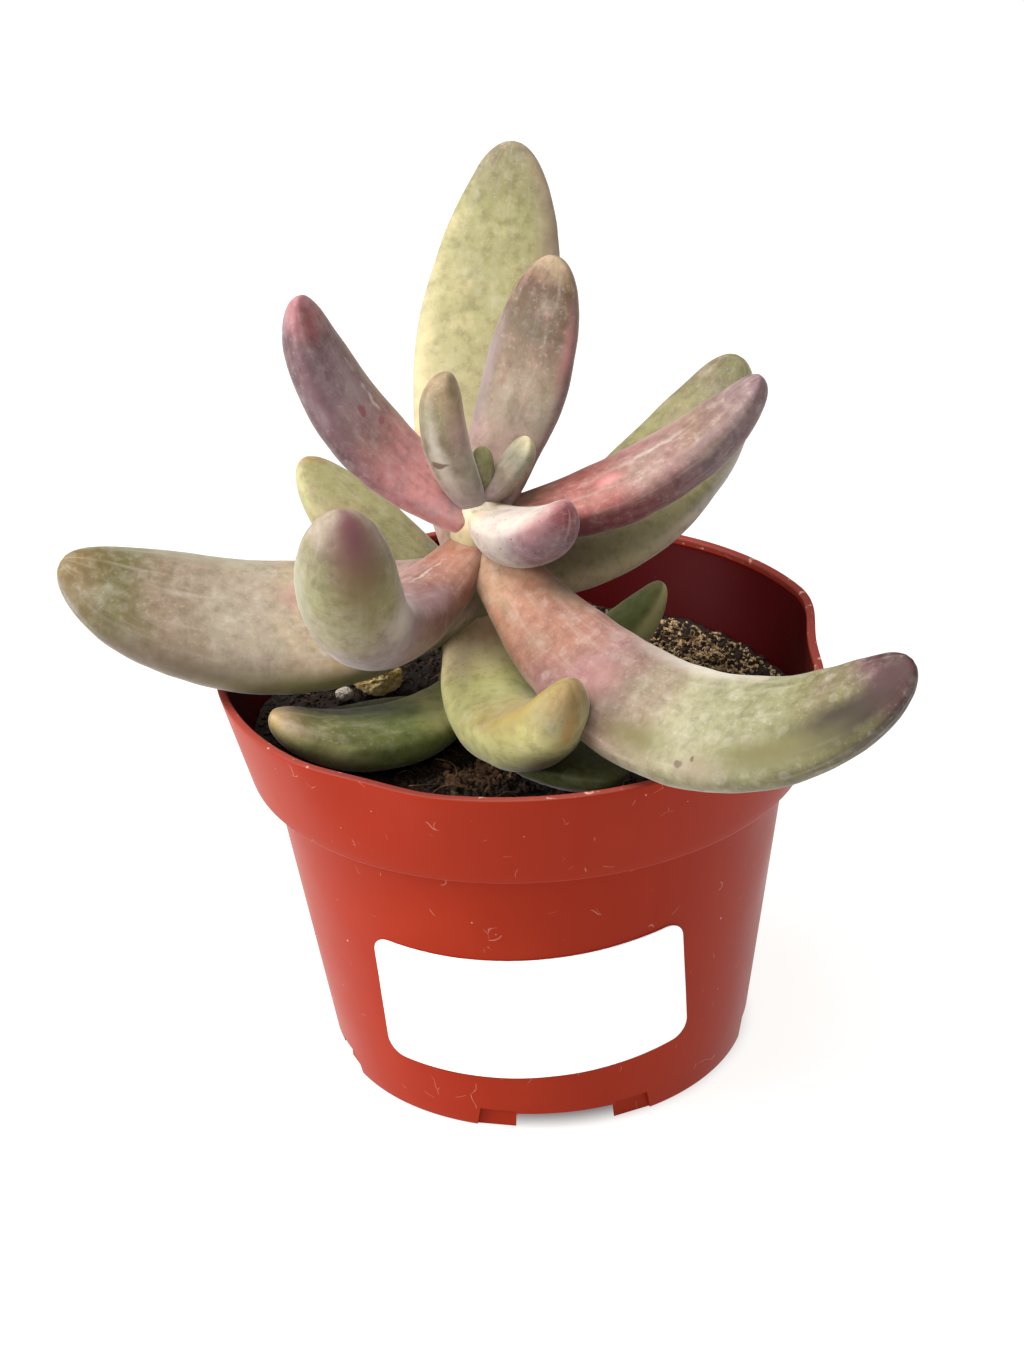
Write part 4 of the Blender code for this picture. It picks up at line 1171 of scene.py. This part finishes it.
def crumb_rule(name, material, broken):
    rule, add, given = new_rule(name, (*SIZES, ("Centre", "Vector"), ("Reach", "Float")))
    spot, flat, amount = open_soil(add, given, given["Largest"])
    from_centre = add("ShaderNodeVectorMath", (flat, given["Centre"]), "Value", operation="DISTANCE")
    near = add("ShaderNodeMapRange", (from_centre, 0.0, given["Reach"], 1.0, 0.0))
    clumps = add("ShaderNodeTexNoise", {"Vector": spot, "Scale": per(CLUMP_SIZE), "Detail": 2.0})
    clumps = add("ShaderNodeMapRange", (clumps, 0.35, 0.65, 0.25, 1.0))
    for factor in (near, clumps):
        amount = add("ShaderNodeMath", (amount, factor), operation="MULTIPLY")
    stone = add("GeometryNodeMeshIcoSphere", {"Radius": 1.0, "Subdivisions": 1})
    turns = ((0.0,) * 3, (2.0 * math.pi,) * 3)
    crumbs = sown(add, given, amount, stone, turns, ((0.5, 0.45, 0.35), (1.0, 0.9, 0.8)))
    chips = {"Vector": add("GeometryNodeInputPosition"), "Scale": per(CHIP_SIZE), "Detail": 1.0}
    chips = add("ShaderNodeTexNoise", chips, "Color")
    shift = add("ShaderNodeVectorMath", (chips, (0.5,) * 3), operation="SUBTRACT")
    shift = add("ShaderNodeVectorMath", {0: shift, "Scale": broken * MM}, operation="SCALE")
    crumbs = add("GeometryNodeSetPosition", {"Geometry": crumbs, "Offset": shift})
    crumbs = add("GeometryNodeSetMaterial", {"Geometry": crumbs, "Material": material})
    add("NodeGroupOutput", (crumbs,))
    return rule


def lay_crumbs(name, material, broken, density, smallest, largest, seed, place=(0.0, 0.0), reach=200.0):
    """One kind of crumb. It is broken by so many millimetres, and reaches so far round its place."""
    sizes = {"Density": density, "Smallest": smallest * MM, "Largest": largest * MM, "Seed": seed}
    centre = ((POT_AXIS[0] + place[0]) * MM, (POT_AXIS[1] + place[1]) * MM, 0.0)
    rule = crumb_rule(name.replace("_", " "), material, broken)
    scattered(name, rule, **sizes, Centre=centre, Reach=reach * MM)


lay_crumbs("peat_crumbs", crumb_peat, 0.5, 2.3e6, 0.3, 1.0, 3)
lay_crumbs("peat_lumps", crumb_peat, 1.2, 0.5e5, 0.9, 1.8, 11)
lay_crumbs("sandy_grit", grit, 0.4, 7.5e6, 0.25, 0.7, 5, GRITTY, 32.0)
lay_crumbs("brown_tuft", coco, 0.8, 6.0e6, 0.4, 1.3, 6, TUFT, 6.5)

# %% [markdown]
# Thin fibres of coco and old roots lie between the crumbs. Each is a short bent curve given a round profile,
# and the same helpers lay it nearly flat on the soil.

# %% Scatter the fibres
FIBRE_THICKNESS = 0.05
FIBRE_LIFT = 0.6
FIBRE_CLEARANCE = 3.6
BOW = {"Resolution": 6, "Start": (-1.0, 0.0, 0.0), "Middle": (0.2, 0.7, 0.4), "End": (1.0, -0.2, 0.0)}

fibre_rule, add, given = new_rule("fibres", SIZES)
amount = open_soil(add, given, FIBRE_CLEARANCE * MM)[-1]
bow = add("GeometryNodeCurveQuadraticBezier", BOW)
wire = add("GeometryNodeCurvePrimitiveCircle", {"Resolution": 4, "Radius": FIBRE_THICKNESS})
rod = add("GeometryNodeCurveToMesh", {"Curve": bow, "Profile Curve": wire, "Fill Caps": True})
rods = sown(add, given, amount, rod, ((-0.3, -0.3, 0.0), (0.3, 0.3, 2.0 * math.pi)), ((1.0,) * 3, (1.0,) * 3))
rods = add("GeometryNodeSetPosition", {"Geometry": rods, "Offset": (0.0, 0.0, FIBRE_LIFT * MM)})
rods = add("GeometryNodeSetMaterial", {"Geometry": rods, "Material": coco})
add("NodeGroupOutput", (rods,))
scattered("soil_fibres", fibre_rule, Density=3.0e4, Smallest=1.2 * MM, Largest=3.4 * MM, Seed=8)

# %% [markdown]
# ## Stone, perlite and label
# One porous yellow stone and one white grain of perlite lie by the stem. Both start as spheres whose points
# move in and out with noise, which gives broken faces and pits.


# %% Stone and perlite
def add_pebble(name, place, half_sizes, pits, material, node):
    rest = SOIL_TOP + SOIL_RELIEF + ROOM + half_sizes[2]
    middle = Vector((place[0] + POT_AXIS[0], place[1] + POT_AXIS[1], rest))
    bm = bmesh.new()
    bmesh.ops.create_icosphere(bm, subdivisions=5, radius=1.0)
    for vert in bm.verts:
        direction = vert.co.normalized()
        seed = Vector((place[0], place[1], 0.0))
        broad = 0.2 * noise.noise(direction * 1.3 + seed)
        chips = 0.22 * abs(noise.noise(direction * 3.0 + seed))
        holes = pits * max(0.0, noise.noise(direction * 8.0 + seed) - 0.12)
        shape = direction * (1.0 + broad - chips - holes)
        vert.co = (middle + Vector([share * size for share, size in zip(shape, half_sizes)])) * MM
    return add_piece(name, mesh_from(name, bm), material, node)


# The stone's yellow is its own, but its stops are lifted paler and brighter, painted light where the leaves
# shade it.
clay_brightened = earth("porous yellow clay stone", ("#B8823E", "#F0C878", "#FFECB0", "#DCB070"), 2.2, 0.85, 0.3)
perlite = earth("expanded perlite", ("#BFB09E", "#DDD2C4", "#E9E2D8"), 0.9, 0.7, 0.2)
add_pebble("stone_rough", (-25.5, 12.0), (4.2, 3.4, 2.8), 0.6, clay_brightened, "stone")
add_pebble("perlite_rough", (-31.5, 10.0), (1.6, 1.4, 1.2), 0.9, perlite, "perlite_grain")

# %% [markdown]
# The label is a small rectangle of matt white paper with rounded corners, wrapped round the pot's cone and
# stuck on slightly askew. It is left blank. The sheet is drawn flat, column by column, rolled onto the cone,
# and a Solidify gives it its thickness. The material has a weak white emission, painted light that makes the
# paper whiter than the white around it.

# %% Shape of the label
LABEL_WIDTH = 54.0
LABEL_HEIGHT = 25.4
LABEL_CORNER = 3.2
LABEL_THICKNESS = 0.18
LABEL_LIFT = 0.1
LABEL_ANGLE = -2.5
LABEL_MIDDLE_Z = 24.3
LABEL_TILT = 2.3
LABEL_ROWS = 14
LABEL_SHARP_ANGLE = 40.0
CORNER_STEPS = 8
STRAIGHT_STEPS = 60
COCKLE = 0.05
COCKLE_SIZE = 7.0


def label_point(across, up, lift):
    """A point of the flat sheet, wrapped round the pot's cone and lifted off it."""
    slope = math.atan2(BODY_TOP_RADIUS - BASE_RADIUS, COLLAR_FOOT_Z)
    tilt = math.radians(LABEL_TILT)
    flat_x = across * math.cos(tilt) - up * math.sin(tilt)
    flat_y = across * math.sin(tilt) + up * math.cos(tilt)
    flat_y += body_radius(LABEL_MIDDLE_Z) / math.sin(slope)
    slant = math.hypot(flat_x, flat_y)
    angle = math.radians(LABEL_ANGLE) + math.atan2(flat_x, flat_y) / math.sin(slope)
    radius = slant * math.sin(slope)
    z = (radius - BASE_RADIUS) * COLLAR_FOOT_Z / (BODY_TOP_RADIUS - BASE_RADIUS)
    radius += lift * math.cos(slope)
    x, y = radius * math.sin(angle) + POT_AXIS[0], -radius * math.cos(angle) + POT_AXIS[1]
    return Vector((x, y, z - lift * math.sin(slope))) * MM


# %% Roll the sheet
half, corner = LABEL_WIDTH / 2.0, LABEL_CORNER
corner_turns = [math.pi / 2.0 * step / CORNER_STEPS for step in range(CORNER_STEPS + 1)]
left_end = [-half + corner - corner * math.cos(turn) for turn in corner_turns]
straight = list(np.linspace(-half + corner, half - corner, STRAIGHT_STEPS)[1:-1])
bm = bmesh.new()
columns = []
for across in [*left_end, *straight, *[-x for x in reversed(left_end)]]:
    beyond = max(0.0, abs(across) - (half - corner))
    top = LABEL_HEIGHT / 2.0 - corner + math.sqrt(max(0.0, corner**2 - beyond**2))
    column = []
    for up in np.linspace(-top, top, LABEL_ROWS):
        cockle = COCKLE * (1.0 + noise.noise(Vector((across, up, 0.0)) / COCKLE_SIZE))
        column.append(bm.verts.new(label_point(across, up, LABEL_LIFT + cockle)))
    columns.append(column)
for left, right in zip(columns, columns[1:]):
    for i in range(LABEL_ROWS - 1):
        bm.faces.new((left[i], right[i], right[i + 1], left[i + 1]))
label_guide = new_object("label_guide", mesh_from("label_paper", bm))
thicken = label_guide.modifiers.new("thickness", "SOLIDIFY")
thicken.thickness = LABEL_THICKNESS * MM
thicken.offset = 1.0
label_mesh = baked(label_guide)
label_mesh.set_sharp_from_angle(angle=math.radians(LABEL_SHARP_ANGLE))
print("label faces:", len(label_mesh.polygons))

# %% Paper of the label
PULP_SIZE = 0.6
SMUDGE_SIZE = 14.0
PAINTED_GLOW = 0.28

paper, add, shader, place = new_material("coated white label paper")
pulp = add("ShaderNodeTexNoise", {"Vector": place, "Scale": per(PULP_SIZE), "Detail": 4.0})
smudge = add("ShaderNodeTexNoise", {"Vector": place, "Scale": per(SMUDGE_SIZE), "Detail": 3.0})
colour = tinted(add, "#FAFAF9", "#EFECE9", smudge, 0.5, 0.8, 0.5)
colour = tinted(add, colour, "#DCD9D6", pulp, 0.5, 0.3, 0.2)
bump = add("ShaderNodeBump", {"Height": pulp, "Strength": 0.2, "Distance": 0.05 * MM})
fill(shader, {"Base Color": colour, "Roughness": 0.5, "Normal": bump})
# Painted light: a weak white glow keeps the paper evenly white.
fill(shader, {"Emission Color": "#FFFFFF", "Emission Strength": PAINTED_GLOW})
label = add_piece("label_paper", label_mesh, paper, "label")
print("label paper:", label.data.materials[0].name)

# %% [markdown]
# ## Floor and light
# The plant stands on a white light table: an opal sheet that glows from below, so that hardly any shadow is
# left on it. Its glow is dimmed in a round patch under the pot, a painted contact shadow, which leaves the
# pot's foot and the gaps in it in shade. A wide softbox hangs overhead, the key softbox stands at the left,
# and a weak one in front fills in. The world round them is a dim white.

# %% Floor
FLOOR_SIZE = 6.0
SHADOW_MIDDLE = ((POT_AXIS[0] + 1.2) * MM, (POT_AXIS[1] - 0.8) * MM, 0.0)
SHADOW_EDGE = (29.0 * MM, 37.5 * MM)
SHADOW_GLOW, OPEN_GLOW = 0.15, 0.94

bm = bmesh.new()
bmesh.ops.create_grid(bm, x_segments=1, y_segments=1, size=FLOOR_SIZE / 2.0)
floor = new_object("floor", mesh_from("floor", bm))
sheet, add, shader, place = new_material("opal acrylic light table")
# Painted contact shadow: the glow drops to a dim round patch just right of and in front of the pot's axis.
from_pot = add("ShaderNodeVectorMath", (place, SHADOW_MIDDLE), "Value", operation="DISTANCE")
limits = (from_pot, *SHADOW_EDGE, SHADOW_GLOW, OPEN_GLOW)
glow_with_shadow = add("ShaderNodeMapRange", limits, interpolation_type="SMOOTHERSTEP")
fill(shader, {"Emission Color": "#FFFDFB", "Emission Strength": glow_with_shadow})
fill(shader, {"Base Color": "#6E6E6E", "Roughness": 0.9})
floor.data.materials.append(sheet)

# %% Lights
PLANT_MIDDLE = (0.0, 0.0, 0.08)
Softbox = namedtuple("Softbox", "name place size power colour")
SOFTBOXES = (
    Softbox("overhead", (-0.3, 0.0, 1.1), 1.0, 18.0, "#FFFDF8"),
    Softbox("left key", (-1.0, -0.25, 0.5), 0.7, 12.0, "#FFFFFF"),
    Softbox("front fill", (-0.5, -1.2, 0.9), 1.0, 2.6, "#FFFFFF"),
)
for box in SOFTBOXES:
    light = new_object(box.name, bpy.data.lights.new(box.name, "AREA"))
    light.data.shape = "DISK"
    light.data.size = box.size
    light.data.energy = box.power
    light.data.color = linear(box.colour)[:3]
    light.location = box.place
    light.rotation_euler = (Vector(PLANT_MIDDLE) - light.location).to_track_quat("-Z", "Y").to_euler()

world = bpy.data.worlds.new("studio")
world.use_nodes = True
fill(world.node_tree.nodes["Background"], {"Color": "#FFFFFF", "Strength": 0.22})
bpy.context.scene.world = world
bpy.context.scene.view_settings.view_transform = "Standard"
